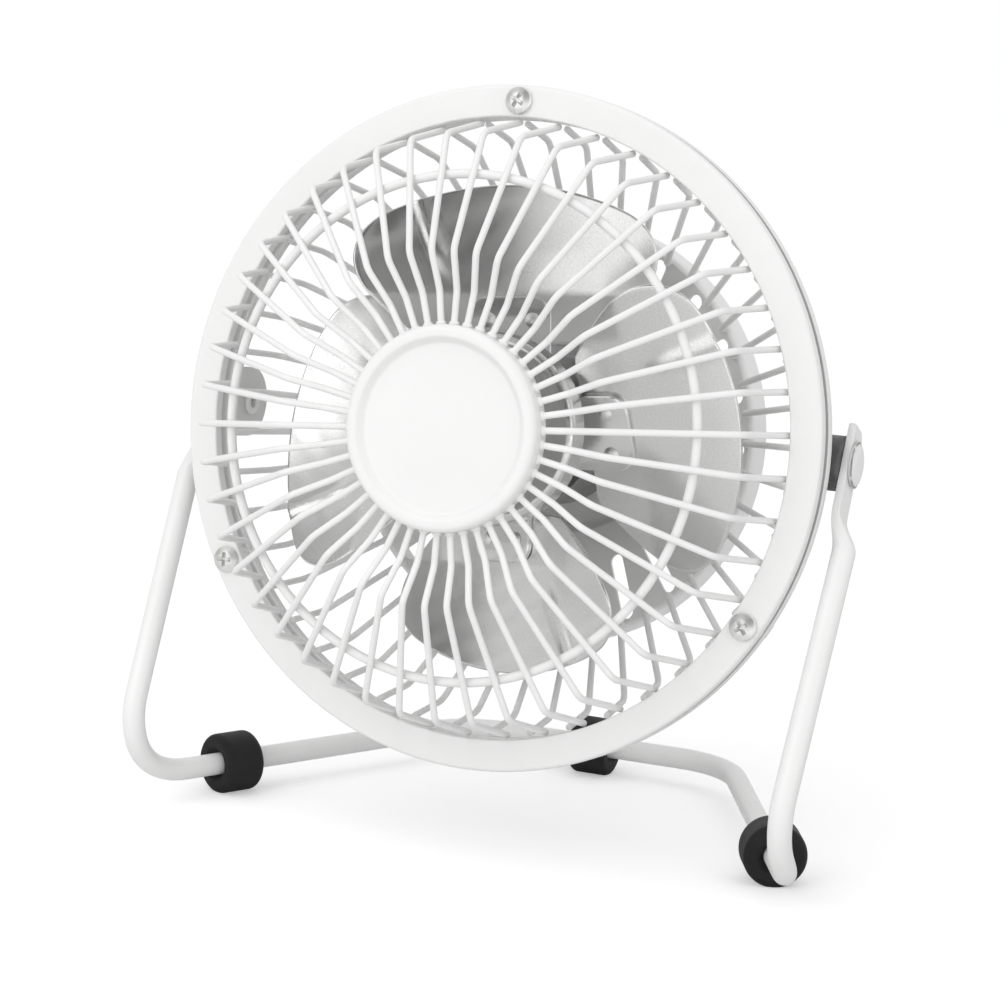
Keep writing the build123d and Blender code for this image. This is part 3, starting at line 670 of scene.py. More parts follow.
def wire_pattern() -> TreeSketch:
    """Tree that bends a round wire along a line of edges and repeats it round the fan axis.

    Returns:
        The finished tree.
    """
    sketch = TreeSketch(
        "wire_pattern", Wire_Radius="Float", Bend_Radius="Float", Weld_Place="Vector", Weld_Size="Vector")
    given = sketch.given.outputs
    line = sketch.add("GeometryNodeMeshToCurve", ("Mesh", given["Geometry"]))
    bend = sketch.add("GeometryNodeFilletCurve", ("Curve", line.outputs[0]), ("Radius", given["Bend Radius"]))
    bend.mode = "POLY"
    bend.inputs["Count"].default_value = WIRE_BEND_STEPS
    bend.inputs["Limit Radius"].default_value = True
    section = sketch.add("GeometryNodeCurvePrimitiveCircle", ("Radius", given["Wire Radius"]), Resolution=WIRE_SIDES)
    wire = sketch.add(
        "GeometryNodeCurveToMesh", ("Curve", bend.outputs[0]), ("Profile Curve", section.outputs[0]), Fill_Caps=True)
    bead = sketch.add("GeometryNodeMeshUVSphere", Segments=BEAD_SIDES, Rings=BEAD_RINGS, Radius=1.0)
    weld = sketch.add(
        "GeometryNodeTransform", ("Geometry", bead.outputs["Mesh"]), ("Translation", given["Weld Place"]),
        ("Scale", given["Weld Size"]))
    both = sketch.add("GeometryNodeJoinGeometry", (0, wire.outputs[0]), (0, weld.outputs[0]))
    sketch.around(sketch.add("GeometryNodeSetShadeSmooth", ("Geometry", both.outputs[0])).outputs[0])
    return sketch


@dataclass
class HeadFrame:
    """Place and lean of the fan head."""

    tilt: float = 6.06
    centre_height: float = 87.8
    centre_y: float = -24.1

    def matrix(self) -> Matrix:
        """Matrix from the head's own frame to the part's frame, in metres."""
        return shift(0.0, self.centre_y, self.centre_height) @ Matrix.Rotation(-math.radians(self.tilt), 4, "X")

    def seat(self, piece: Piece) -> Piece:
        """Moves a piece's mesh from the head's frame to the part's frame."""
        piece.data.transform(self.matrix())
        return piece


@dataclass(frozen=True)
class WireSet:
    """One set of bent guard wires with their weld beads.

    Lines and places are (radius, depth), phase is a share of the step, and weld_size has half sizes.
    """

    count: int
    phase: float
    bend: float
    line: tuple[Flat, ...]
    weld_at: Flat
    weld_size: Corner


@dataclass
class Guard:
    """Rings, wires, cap and screws of the wire guard."""

    head: HeadFrame
    ring_pattern: TreeSketch
    wire_pattern: TreeSketch
    outer_radius: float = 70.0
    inner_radius: float = 63.45
    ring_thickness: float = 2.8
    ring_spacing: float = 2.2
    ring_steps: int = 192
    inner_ease: float = 0.45
    outer_ease: float = 0.8
    gap_ease: float = 0.35
    # painted shade in the gap between the two rings: its share, and how close to the gap face a point must be
    gap_painted_shade: float = 0.5
    gap_reach: float = 0.02
    seat_radius: float = 2.9
    seat_flare: float = 0.4
    screw_count: int = 3
    screw_circle: float = 66.7
    screw_radius: float = 1.5
    screw_head_radius: float = 2.8
    screw_head_height: float = 1.6
    screw_length: float = 11.4
    recess: tuple[Corner, ...] = ((-0.4, 1.75, 0.46), (0.25, 1.5, 0.4), (1.05, 0.55, 0.22))
    recess_turn: float = 0.5
    wire_radius: float = 0.69
    front_wires: WireSet = WireSet(
        46, 0.56, 3.2, ((20.35, -21.8), (27.2, -21.8), (35.0, -25.0), (58.7, -15.2), (62.62, 2.7)),
        (20.65, -21.8), (0.7, 1.05, 1.05))
    rear_wires: WireSet = WireSet(
        45, 0.24, 5.5, ((62.62, 5.1), (60.4, 17.6), (44.3, 31.47)), (44.7, 31.52), (0.95, 0.75, 0.85))
    middle_radius: float = 50.3
    middle_wire: float = 0.95
    middle_sides: int = 14
    cap_radius: float = 20.4
    cap_front: float = -25.5
    cap_length: float = 6.0
    cap_face_radius: float = 16.8
    cap_bead_radius: float = 17.95
    cap_recess: float = 1.6
    cap_sheet: float = 0.8

    def at_screws(self, piece: Piece, finish: Finish) -> Piece:
        """Sets a piece made on the fan axis at every screw.

        Args:
            piece: The piece, which becomes all the copies.
            finish: Its finish.
        Returns:
            The same object.
        """
        piece.data.transform(shift(self.screw_circle))
        self.ring_pattern.apply(piece, Count=self.screw_count, Start=math.pi / 2.0, Finish=finish.material())
        return piece

    def ring(self, name: str, front: float, front_bend: float, back_bend: float, seats: bool) -> Piece:
        """One flat ring with eased edges and painted shade on the outer half of its face towards the gap to the other
        ring.

        Args:
            name: Name of the piece.
            front: Depth of its front face.
            front_bend: Radius of its outer front edge.
            back_bend: Radius of its outer back edge.
            seats: Whether it is the front ring, with the pressed seats at the screws.
        Returns:
            The ring.
        """
        back = front + self.ring_thickness
        ring = turned(name, [
            (self.inner_radius, front, self.inner_ease), (self.outer_radius, front, front_bend),
            (self.outer_radius, back, back_bend), (self.inner_radius, back, self.inner_ease)],
            segments=self.ring_steps, closed=True)
        if seats:
            end = back + self.ring_spacing - CLEARANCE
            seat = turned(name + "_seats", [
                (0.0, back, 0.0), (self.seat_radius + self.seat_flare, back, 0.3), (self.seat_radius, end, 0.2),
                (0.0, end, 0.0)], segments=32)
            ring = join(name, [ring, self.at_screws(seat, WHITE_COAT)])
        gap = back if seats else front
        middle = (self.inner_radius + self.outer_radius) / 2.0
        # painted shade: the outer half of the face towards the gap between the rings is darkened
        painted_shade_layer = ring.data.attributes.new(PAINTED_SHADE_ATTRIBUTE, "FLOAT", "POINT")
        painted_shade_layer.data.foreach_set("value", [
            self.gap_painted_shade if abs(vertex.co.y / MM - gap) < self.gap_reach
            and math.hypot(vertex.co.x, vertex.co.z) > middle * MM else 0.0
            for vertex in ring.data.vertices])
        return self.head.seat(ring)

    def screws(self) -> Piece:
        """Pan-head screws with a cross recess.

        Returns:
            All the screws.
        """
        edge = self.screw_head_radius
        top = -self.screw_head_height
        screw = turned("ring_screw_set", [
            (0.0, top, 0.0), (edge * 0.55, top + 0.04, 2.0), (edge, top + 0.75, 0.5), (edge, -CLEARANCE, 0.12),
            (self.screw_radius, -CLEARANCE, 0.0), (self.screw_radius, self.screw_length, 0.3),
            (0.0, self.screw_length, 0.0)], segments=40)
        for turn in (0.0, math.pi / 2.0):
            rings = []
            for depth, long, wide in self.recess:
                corners = ((long, wide), (-long, wide), (-long, -wide), (long, -wide))
                rings.append([Vector((x, top + depth, z)) for x, z in corners])
            slot = as_object("cross_recess", skin(rings))
            slot.data.transform(Matrix.Rotation(turn + self.recess_turn, 4, "Y"))
            subtract(screw, slot, crease=25.0)
        return self.head.seat(self.at_screws(screw, SCREW_STEEL))

    def wires(self, name: str, wire_set: WireSet) -> Piece:
        """One set of bent guard wires.

        Args:
            name: Name of the piece.
            wire_set: Number, line and welds of the wires.
        Returns:
            The wires.
        """
        line = wire_set.line
        mesh = bpy.data.meshes.new(name)
        mesh.from_pydata(
            [(radius * MM, depth * MM, 0.0) for radius, depth in line],
            [(index, index + 1) for index in range(len(line) - 1)], [])
        wires = place_mesh(name, mesh)
        weld_radius, weld_depth = wire_set.weld_at
        self.wire_pattern.apply(
            wires, Count=wire_set.count, Start=wire_set.phase * 2.0 * math.pi / wire_set.count,
            Wire_Radius=self.wire_radius * MM, Bend_Radius=wire_set.bend * MM,
            Weld_Place=(weld_radius * MM, weld_depth * MM, 0.0),
            Weld_Size=tuple(size * MM for size in wire_set.weld_size), Finish=WHITE_COAT.material())
        return self.head.seat(wires)

    def middle_ring(self) -> Piece:
        """Round wire ring behind the front wires.

        Returns:
            The ring.
        """
        crest, corner = self.front_wires.line[2:4]
        slope = (corner[1] - crest[1]) / (corner[0] - crest[0])
        depth = crest[1] + (self.middle_radius - crest[0]) * slope
        depth += (self.wire_radius + self.middle_wire) * math.hypot(1.0, slope)
        profile = []
        for step in range(self.middle_sides):
            turn = 2.0 * math.pi * step / self.middle_sides
            profile.append(Vector((
                self.middle_radius + self.middle_wire * math.cos(turn), depth + self.middle_wire * math.sin(turn))))
        return self.head.seat(as_object(
            "middle_wire_ring", lathe(profile, segments=160, closed=True), crease=80.0))

    def cap(self) -> Piece:
        """Pressed cap with a rounded bead round its flat face.

        Returns:
            The cap.
        """
        face = self.cap_front + self.cap_recess
        back = self.cap_front + self.cap_length
        inner = self.cap_radius - self.cap_sheet
        return self.head.seat(turned("guard_cap", [
            (0.0, face, 0.0), (self.cap_face_radius, face, 0.7), (self.cap_bead_radius, self.cap_front, 0.8),
            (self.cap_radius, self.cap_front, 1.35), (self.cap_radius, back, 0.3), (inner, back, 0.3),
            (inner, face + self.cap_sheet, 0.8), (0.0, face + self.cap_sheet, 0.0)],
            segments=128, steps=7, crease=60.0))

    def build(self) -> None:
        """Builds and dresses the guard."""
        rear = self.ring_thickness + self.ring_spacing
        white = (Body.HEAD, Slot.WHITE_PAINT, WHITE_COAT)
        present(self.ring("guard_ring_front", 0.0, self.outer_ease, self.gap_ease, True), *white, "front_ring")
        present(self.ring("guard_ring_rear", rear, self.gap_ease, self.outer_ease, False), *white, "rear_ring")
        present(self.screws(), Body.HEAD, Slot.BRIGHT_STEEL, SCREW_STEEL, "ring_screws")
        present(self.wires("front_wire_cage", self.front_wires), *white, "front_guard_wires")
        present(self.wires("rear_wire_cage", self.rear_wires), *white, "rear_guard_wires")
        present(self.middle_ring(), *white, "guard_middle_ring")
        present(self.cap(), *white, "front_cap")


@dataclass
class RearBowl:
    """Vented bowl behind the blades, with the switch and the cord's grommet."""

    head: HeadFrame
    ring_pattern: TreeSketch
    radius: float = 46.2
    rim_depth: float = 32.2
    rim_flat: float = 0.5
    skirt: float = 8.6
    sheet: float = 0.8
    cone_angle: float = 29.2
    cup_radius: float = 22.0
    cup_floor_radius: float = 20.6
    cup_lean: float = 0.64
    back_depth: float = 50.0
    vent_count: int = 24
    vent_width: float = 3.0
    vent_inner: float = 29.6
    vent_outer: float = 44.0
    vent_margins: Flat = (1.5, 2.0)
    vent_end_steps: int = 8
    switch_height: float = 4.2
    switch_width: float = 9.0
    switch_tall: float = 14.4
    switch_depth: float = 9.2
    bezel_margin: float = 1.2
    bezel_thickness: float = 1.5
    well_depth: float = 7.4
    well_gap: Flat = (0.4, 1.0)
    rocker_width: float = 6.4
    rocker_tall: float = 10.4
    rocker_rise: float = 4.9
    rocker_dip: float = 1.0
    rocker_keel: float = 2.6
    rocker_axis: float = 3.8
    rocker_rest: float = -9.0
    rocker_ease: float = 0.25
    rocker_steps: int = 12
    rocker_curve: float = 1.3
    rocker_flank: float = 0.3
    rocker_foot: float = 0.42
    grommet_drop: float = 12.6
    grommet_hole: float = 3.0
    grommet_bore: float = 1.9
    grommet_flange: float = 4.3
    grommet_reach: float = 1.2

    def cone_depth(self, radius: float) -> float:
        """Depth of the cone's front surface at a radius."""
        start = self.radius - self.sheet - self.rim_flat
        return self.rim_depth + (start - radius) * math.tan(math.radians(self.cone_angle))

    def outside(self) -> float:
        """Depth just behind the bowl's back."""
        return self.back_depth + self.sheet + CLEARANCE

    def slot(self) -> Piece:
        """Cutter for one vent, with round ends.

        Returns:
            The cutter, at angle zero.
        """
        half = self.vent_width / 2.0
        outline = []
        for centre, first in ((self.vent_outer - half, -90.0), (self.vent_inner + half, 90.0)):
            for step in range(self.vent_end_steps + 1):
                turn = math.radians(first + 180.0 * step / self.vent_end_steps)
                outline.append((centre + half * math.cos(turn), half * math.sin(turn)))
        depths = (self.rim_depth - self.vent_margins[0], self.back_depth - self.vent_margins[1])
        return as_object("vent_cutter", skin([[Vector((x, depth, z)) for x, z in outline] for depth in depths]))

    def bowl(self) -> Piece:
        """Spun sheet bowl with a rolled rim and round-ended vents.

        Returns:
            The bowl.
        """
        inner = self.radius - self.sheet
        skirt_end = self.rim_depth + self.skirt
        back = self.back_depth + self.sheet
        lean = self.sheet / math.cos(math.radians(self.cone_angle))
        outer_cup = self.cup_radius + self.sheet
        bowl = turned("vented_bowl", [
            (0.0, self.back_depth, 0.0), (self.cup_floor_radius, self.back_depth, 1.2),
            (self.cup_radius, self.cone_depth(self.cup_radius), 1.2), (inner - self.rim_flat, self.rim_depth, 0.8),
            (self.radius, self.rim_depth, 0.78), (self.radius, skirt_end, 0.3), (inner, skirt_end, 0.3),
            (inner, self.cone_depth(inner) + lean, 0.6), (outer_cup, self.cone_depth(outer_cup) + lean, 0.8),
            (self.cup_floor_radius + self.cup_lean, back, 1.6), (0.0, back, 0.0)], segments=192)
        vents = self.slot()
        self.ring_pattern.apply(vents, Count=self.vent_count, Start=0.0, Finish=WHITE_COAT.material())
        subtract(bowl, vents, crease=32.0)
        return self.head.seat(bowl)

    def frame_ring(self, size: Flat, growth: float, bend: float, depth: float) -> list[Vector]:
        """Rounded rectangle round the switch.

        Args:
            size: Half width and half height.
            growth: Added to both.
            bend: Radius of the corners.
            depth: Depth of the rectangle.
        Returns:
            Points of the rectangle.
        """
        wide, tall = size[0] + growth, size[1] + growth
        outline = rounded_outline(
            [(wide, tall, bend), (-wide, tall, bend), (-wide, -tall, bend), (wide, -tall, bend)],
            closed=True, steps=4)
        return [Vector((x, depth, z + self.switch_height)) for x, z in outline]

    def switch_case(self) -> Piece:
        """Switch bezel with eased edges and the well round the rocker.

        Returns:
            The bezel and well.
        """
        case = (self.switch_width / 2.0, self.switch_tall / 2.0)
        well = (self.rocker_width / 2.0 + self.well_gap[0], self.rocker_tall / 2.0 + self.well_gap[1])
        margin = self.bezel_margin
        front = self.outside()
        face = front + self.bezel_thickness
        rings = [self.frame_ring(*row) for row in (
            (case, 0.0, 0.6, self.back_depth - self.switch_depth), (case, 0.0, 0.6, front),
            (case, margin, 1.2, front), (case, margin, 1.2, face - 0.5),
            (case, margin - 0.15, 1.1, face - 0.15), (case, margin - 0.5, 0.9, face),
            (well, 0.25, 0.6, face), (well, 0.0, 0.5, face - 0.25), (well, 0.0, 0.5, face - self.well_depth))]
        return self.head.seat(as_object("switch_case", skin(rings), crease=30.0))

    def rocker(self) -> Piece:
        """Rocker with a dished face and eased edges, with its lower end pressed in.

        Returns:
            The rocker.
        """
        half, rise, keel = self.rocker_tall / 2.0, self.rocker_rise, self.rocker_keel
        flank, foot = rise * self.rocker_flank, half * self.rocker_foot
        outline = []
        for step in range(self.rocker_steps + 1):
            share = 2.0 * step / self.rocker_steps - 1.0
            outline.append((rise - self.rocker_dip * (1.0 - abs(share)) ** self.rocker_curve, -half * share))
        outline += [(flank, -half), (-keel, -foot), (-keel, foot), (flank, half)]
        sides = [-self.rocker_width / 2.0, self.rocker_width / 2.0]
        rings = [[Vector((x, y, z)) for y, z in outline] for x in sides]
        rocker = as_object("switch_rocker_key", skin(rings), crease=25.0)
        ease = rocker.modifiers.new("ease", "BEVEL")
        ease.width = self.rocker_ease * MM
        ease.segments = 3
        ease.limit_method = "ANGLE"
        ease.angle_limit = math.radians(CREASE)
        make_plain(rocker)
        axis = self.outside() + self.bezel_thickness - self.rocker_axis
        rocker.data.transform(
            shift(0.0, axis, self.switch_height) @ Matrix.Rotation(math.radians(self.rocker_rest), 4, "X"))
        return self.head.seat(rocker)

    def grommet(self) -> Piece:
        """Rubber sleeve in the cord hole.

        Returns:
            The sleeve.
        """
        front = self.outside()
        inside, end = self.back_depth - self.grommet_reach, front + self.grommet_reach
        neck = self.grommet_hole - CLEARANCE
        grommet = turned("cord_sleeve", [
            (self.grommet_bore, inside, 0.3), (neck, inside, 0.3), (neck, front, 0.0),
            (self.grommet_flange, front, 0.25), (self.grommet_flange, end, 0.7), (self.grommet_bore, end, 0.5)],
            segments=48, closed=True)
        grommet.data.transform(shift(0.0, 0.0, -self.grommet_drop))
        return self.head.seat(grommet)

    def build(self) -> None:
        """Builds and dresses the bowl and what it carries."""
        present(self.bowl(), Body.HEAD, Slot.WHITE_PAINT, WHITE_COAT, "rear_bowl")
        present(self.switch_case(), Body.HEAD, Slot.BLACK_PLASTIC, PLASTIC, "switch_body")
        present(self.rocker(), Body.ROCKER, Slot.BLACK_PLASTIC, PLASTIC, "switch_rocker")
        present(self.grommet(), Body.HEAD, Slot.BLACK_RUBBER, RUBBER, "cord_grommet")


@dataclass
class Rotor:
    """Blades, hub, cover and rivets."""

    head: HeadFrame
    ring_pattern: TreeSketch
    count: int = 4
    angle: float = 5.0
    tip_radius: float = 50.6
    root_radius: float = 17.5
    widest_radius: float = 36.2
    sheet: float = 0.8
    depth: float = 10.0
    root_pitch: float = 27.0
    tip_pitch: float = 15.0
    tip_margin: float = 2.0
    root_width: float = 32.0
    root_shares: tuple[float, ...] = (0.0, 0.3, 0.6, 0.85)
    root_corner: Flat = (0.35, 0.96)
    root_margin: float = 1.0
    spine_margins: Flat = (3.0, 1.0)
    edge_turns: tuple[float, ...] = (90.0, 60.0, 30.0, 0.0, -30.0, -60.0, -90.0)
    width: float = 57.6
    shoulder_turn: float = 27.0
    shoulder_pull: float = 4.6
    rim_pull: float = 3.2
    side_samples: int = 20
    first_sample: float = 0.25
    camber: float = 2.6
    camber_run: float = 9.0
    crease_height: float = 0.8
    crease_width: float = 1.3
    crease_slope: float = 0.36
    crease_start: float = 0.3
    mesh_steps: int = 26
    slope_step: float = 0.05
    grain_scale: float = 0.01
    cover_radius: float = 19.8
    cover_depth: float = -4.0
    cover_length: float = 6.6
    plate_radius: float = 15.0
    plate_thickness: float = 1.2
    arm_width: float = 17.0
    arm_reach: float = 27.5
    arm_corner: float = 4.0
    arm_margin: float = 1.0
    arm_ease: Flat = (0.25, 0.2)
    arm_overlap: float = 5.0
    boss_radius: float = 4.5
    boss_gap: float = 0.85
    boss_back: float = 15.2
    hub_ease: float = 0.4
    rivet_circle: float = 22.6
    rivet_spread: float = 4.6
    rivet_head_height: float = 0.7

    def outline(self) -> list[Flat]:
        """Smooth paddle outline seen along the fan axis.

        Returns:
            Points (along the blade, across it) round the paddle.
        """
        samples = self.side_samples
        half_root = self.root_width / 2.0
        half_wide = self.width / 2.0
        shoulder = math.radians(self.shoulder_turn)
        rim = Vector((self.tip_radius * math.cos(shoulder), self.tip_radius * math.sin(shoulder)))
        along_rim = Vector((math.sin(shoulder), -math.cos(shoulder)))
        widest = Vector((self.widest_radius, half_wide))
        side: list[Flat] = [(self.root_radius, half_root * share) for share in self.root_shares]
        side.append((self.root_radius + self.root_corner[0], half_root * self.root_corner[1]))
        start = self.root_radius + self.root_margin
        for step in range(samples):
            share = (step + self.first_sample) / samples
            side.append((start + (self.widest_radius - start) * share,
                         half_root + (half_wide - half_root) * math.sin(share * math.pi / 2.0)))
        for step in range(samples // 2):
            share = step * 2.0 / samples
            rest = 1.0 - share
            side.append(tuple(
                widest * rest ** 3 + (widest + Vector((self.shoulder_pull, 0.0))) * 3.0 * rest * rest * share
                + (rim - along_rim * self.rim_pull) * 3.0 * rest * share * share + rim * share ** 3))
        for step in range(samples, -1, -1):
            turn = shoulder * step / samples
            side.append((self.tip_radius * math.cos(turn), self.tip_radius * math.sin(turn)))
        return side + [(x, -z) for x, z in reversed(side[1:-1])]

    def surface(self, along: float, across: float) -> Vector:
        """Middle of the blade's sheet.

        Args:
            along: Distance from the fan axis along the blade.
            across: Distance from the blade's centre line.
        Returns:
            The place in the head's frame.
        """
        bend_start = self.arm_reach + self.arm_margin
        share = min(max((along - bend_start) / (self.tip_radius + self.tip_margin - bend_start), 0.0), 1.0)
        pitch = math.radians(self.root_pitch + (self.tip_pitch - self.root_pitch) * share)
        free = max(along - bend_start, abs(across) - self.arm_width / 2.0 - self.arm_margin, 0.0)
        swell = min(free / self.camber_run, 1.0)
        swell *= swell * (3.0 - 2.0 * swell)
        relative = across / (self.width / 2.0)
        dish = -self.camber * swell * relative * relative
        off_crease = (across - self.crease_slope * along - self.crease_start) / self.crease_width
        crease = self.crease_height * swell * math.exp(-off_crease ** 2)
        return Vector((along, self.depth - across * math.tan(pitch) + dish - crease, across))

    def blade(self, number: int) -> Piece:
        """One pressed sheet blade with rounded edges.

        Args:
            number: Which blade, counted from one.
        Returns:
            The blade.
        """
        outline = self.outline()
        half = self.sheet / 2.0
        spine_start = self.root_radius + self.spine_margins[0]
        spine_end = self.widest_radius - self.spine_margins[1]
        steps = [step / self.mesh_steps for step in range(self.mesh_steps)]
        inset: list[Corner] = [(share, 0.0, half) for share in steps]
        for turn in self.edge_turns:
            rise = math.radians(turn)
            inset.append((1.0, half * (1.0 - math.cos(rise)), half * math.sin(rise)))
        inset += [(share, 0.0, -half) for share in reversed(steps)]
        shape = bmesh.new()
        uv = shape.loops.layers.uv.new("grain")
        rings = []
        flat: dict[bmesh.types.BMVert, Flat] = {}
        for share, edge, lift in inset:
            ring = []
            for along, across in outline:
                spine = min(max(along, spine_start), spine_end)
                span = Vector((along - spine, across))
                reach = span * max(share - edge / max(span.length, AXIS_LIMIT), 0.0)
                x, z = spine + reach.x, reach.y
                here = self.surface(x, z)
                slope_x = self.surface(x + self.slope_step, z) - here
                slope_z = self.surface(x, z + self.slope_step) - here
                normal = slope_z.cross(slope_x).normalized()
                vertex = shape.verts.new((here - normal * lift) * MM)
                flat[vertex] = (x * self.grain_scale, z * self.grain_scale)
                ring.append(vertex)
            rings.append(ring)
        count = len(outline)
        for low, high in zip(rings, rings[1:]):
            for step in range(count):
                following = (step + 1) % count
                face = shape.faces.new((low[step], low[following], high[following], high[step]))
                for loop in face.loops:
                    loop[uv].uv = flat[loop.vert]
        bmesh.ops.remove_doubles(shape, verts=shape.verts, dist=DOUBLE_LIMIT)
        bmesh.ops.recalc_face_normals(shape, faces=shape.faces)
        blade = as_object(f"sheet_blade_{number}", shape, crease=50.0)
        turn = math.radians(self.angle + (number - 1) * 360.0 / self.count)
        blade.data.transform(Matrix.Rotation(-turn, 4, "Y"))
        return self.head.seat(blade)

    def on_root(self, radius: float, offset: float) -> Matrix:
        """Place on the flat blade root at a radius, lifted towards the front by an offset."""
        lean = Matrix.Rotation(math.radians(self.root_pitch), 4, "X")
        return shift(radius, self.depth) @ lean @ shift(0.0, -offset)

    def lift(self) -> float:
        """Distance from the middle of the blade sheet to the middle of a hub arm."""
        return (self.sheet + self.plate_thickness) / 2.0 + CLEARANCE

    def repeat(self, piece: Piece, finish: Finish) -> Piece:
        """Sets a piece made for the first blade at every blade."""
        self.ring_pattern.apply(piece, Count=self.count, Start=math.radians(self.angle), Finish=finish.material())
        return piece

    def hub(self) -> Piece:
        """Hub plate and boss with one rounded arm in front of each blade root.

        Returns:
            The hub.
        """
        inner = self.plate_radius - self.arm_overlap
        half_wide = self.arm_width / 2.0
        half = self.plate_thickness / 2.0
        rings = []
        edge, inside = self.arm_ease
        for shrink, depth in ((edge, -half), (0.0, -half + inside), (0.0, half - inside), (edge, half)):
            reach, wide = self.arm_reach - shrink, half_wide - shrink
            outline = rounded_outline([
                (inner, wide, 0.0), (reach, wide, self.arm_corner), (reach, -wide, self.arm_corner),
                (inner, -wide, 0.0)], closed=True, steps=6)
            rings.append([Vector((x, depth, z)) for x, z in outline])
        arms = as_object("hub_arms", skin(rings), crease=30.0)
        arms.data.transform(self.on_root(0.0, self.lift()))
        self.repeat(arms, SHEET_METAL)
        plate = self.depth - self.lift()
        front, ease = self.cover_depth + self.boss_gap, self.hub_ease
        centre = turned("hub_centre", [
            (0.0, front, 0.0), (self.boss_radius, front, ease), (self.boss_radius, plate - half, ease),
            (self.plate_radius, plate - half, ease), (self.plate_radius, plate + half, ease),
            (self.boss_radius, plate + half, ease), (self.boss_radius, self.boss_back, ease),
            (0.0, self.boss_back, 0.0)], segments=64)
        return self.head.seat(join("blade_hub_plate", [arms, centre]))

    def cover(self) -> Piece:
        """Spun cover with a rounded edge, open to the back.

        Returns:
            The cover.
        """
        front, back = self.cover_depth, self.cover_depth + self.cover_length
        inner = self.cover_radius - self.sheet
        return self.head.seat(turned("spun_hub_cover", [
            (0.0, front, 0.0), (self.cover_radius, front, 1.8), (self.cover_radius, back, 0.3), (inner, back, 0.3),
            (inner, front + self.sheet, 1.0), (0.0, front + self.sheet, 0.0)],
            segments=128, steps=8, crease=60.0))

    def rivets(self) -> Piece:
        """Two small round-headed rivets at each blade root.

        Returns:
            All the rivets.
        """
        front = -self.lift() - self.plate_thickness / 2.0 - CLEARANCE
        back = self.sheet / 2.0 + CLEARANCE
        crown = self.rivet_head_height
        pair = []
        for side in (1.0, -1.0):
            rivet = turned("root_rivet", [
                (0.0, front - crown, 0.0), (0.9, front - crown + 0.08, 1.2), (1.6, front, 0.0), (1.0, front, 0.0),
                (1.0, back, 0.0), (1.6, back, 0.0), (0.9, back + crown - 0.08, 1.2), (0.0, back + crown, 0.0)],
                segments=20, steps=4)
            rivet.data.transform(self.on_root(self.rivet_circle, 0.0) @ shift(0.0, 0.0, side * self.rivet_spread))
            pair.append(rivet)
        return self.head.seat(self.repeat(join("blade_root_rivets", pair), SCREW_STEEL))

    def build(self) -> None:
        """Builds and dresses the rotor."""
        metal = (Body.ROTOR, Slot.SATIN_ALUMINIUM)
        for number in range(1, self.count + 1):
            present(self.blade(number), *metal, SHEET_METAL, f"blade_{number}")
        present(self.hub(), *metal, SHEET_METAL, "blade_hub")
        present(self.cover(), *metal, SPUN_METAL, "hub_cover")
        present(self.rivets(), Body.ROTOR, Slot.BRIGHT_STEEL, SCREW_STEEL, "blade_rivets")


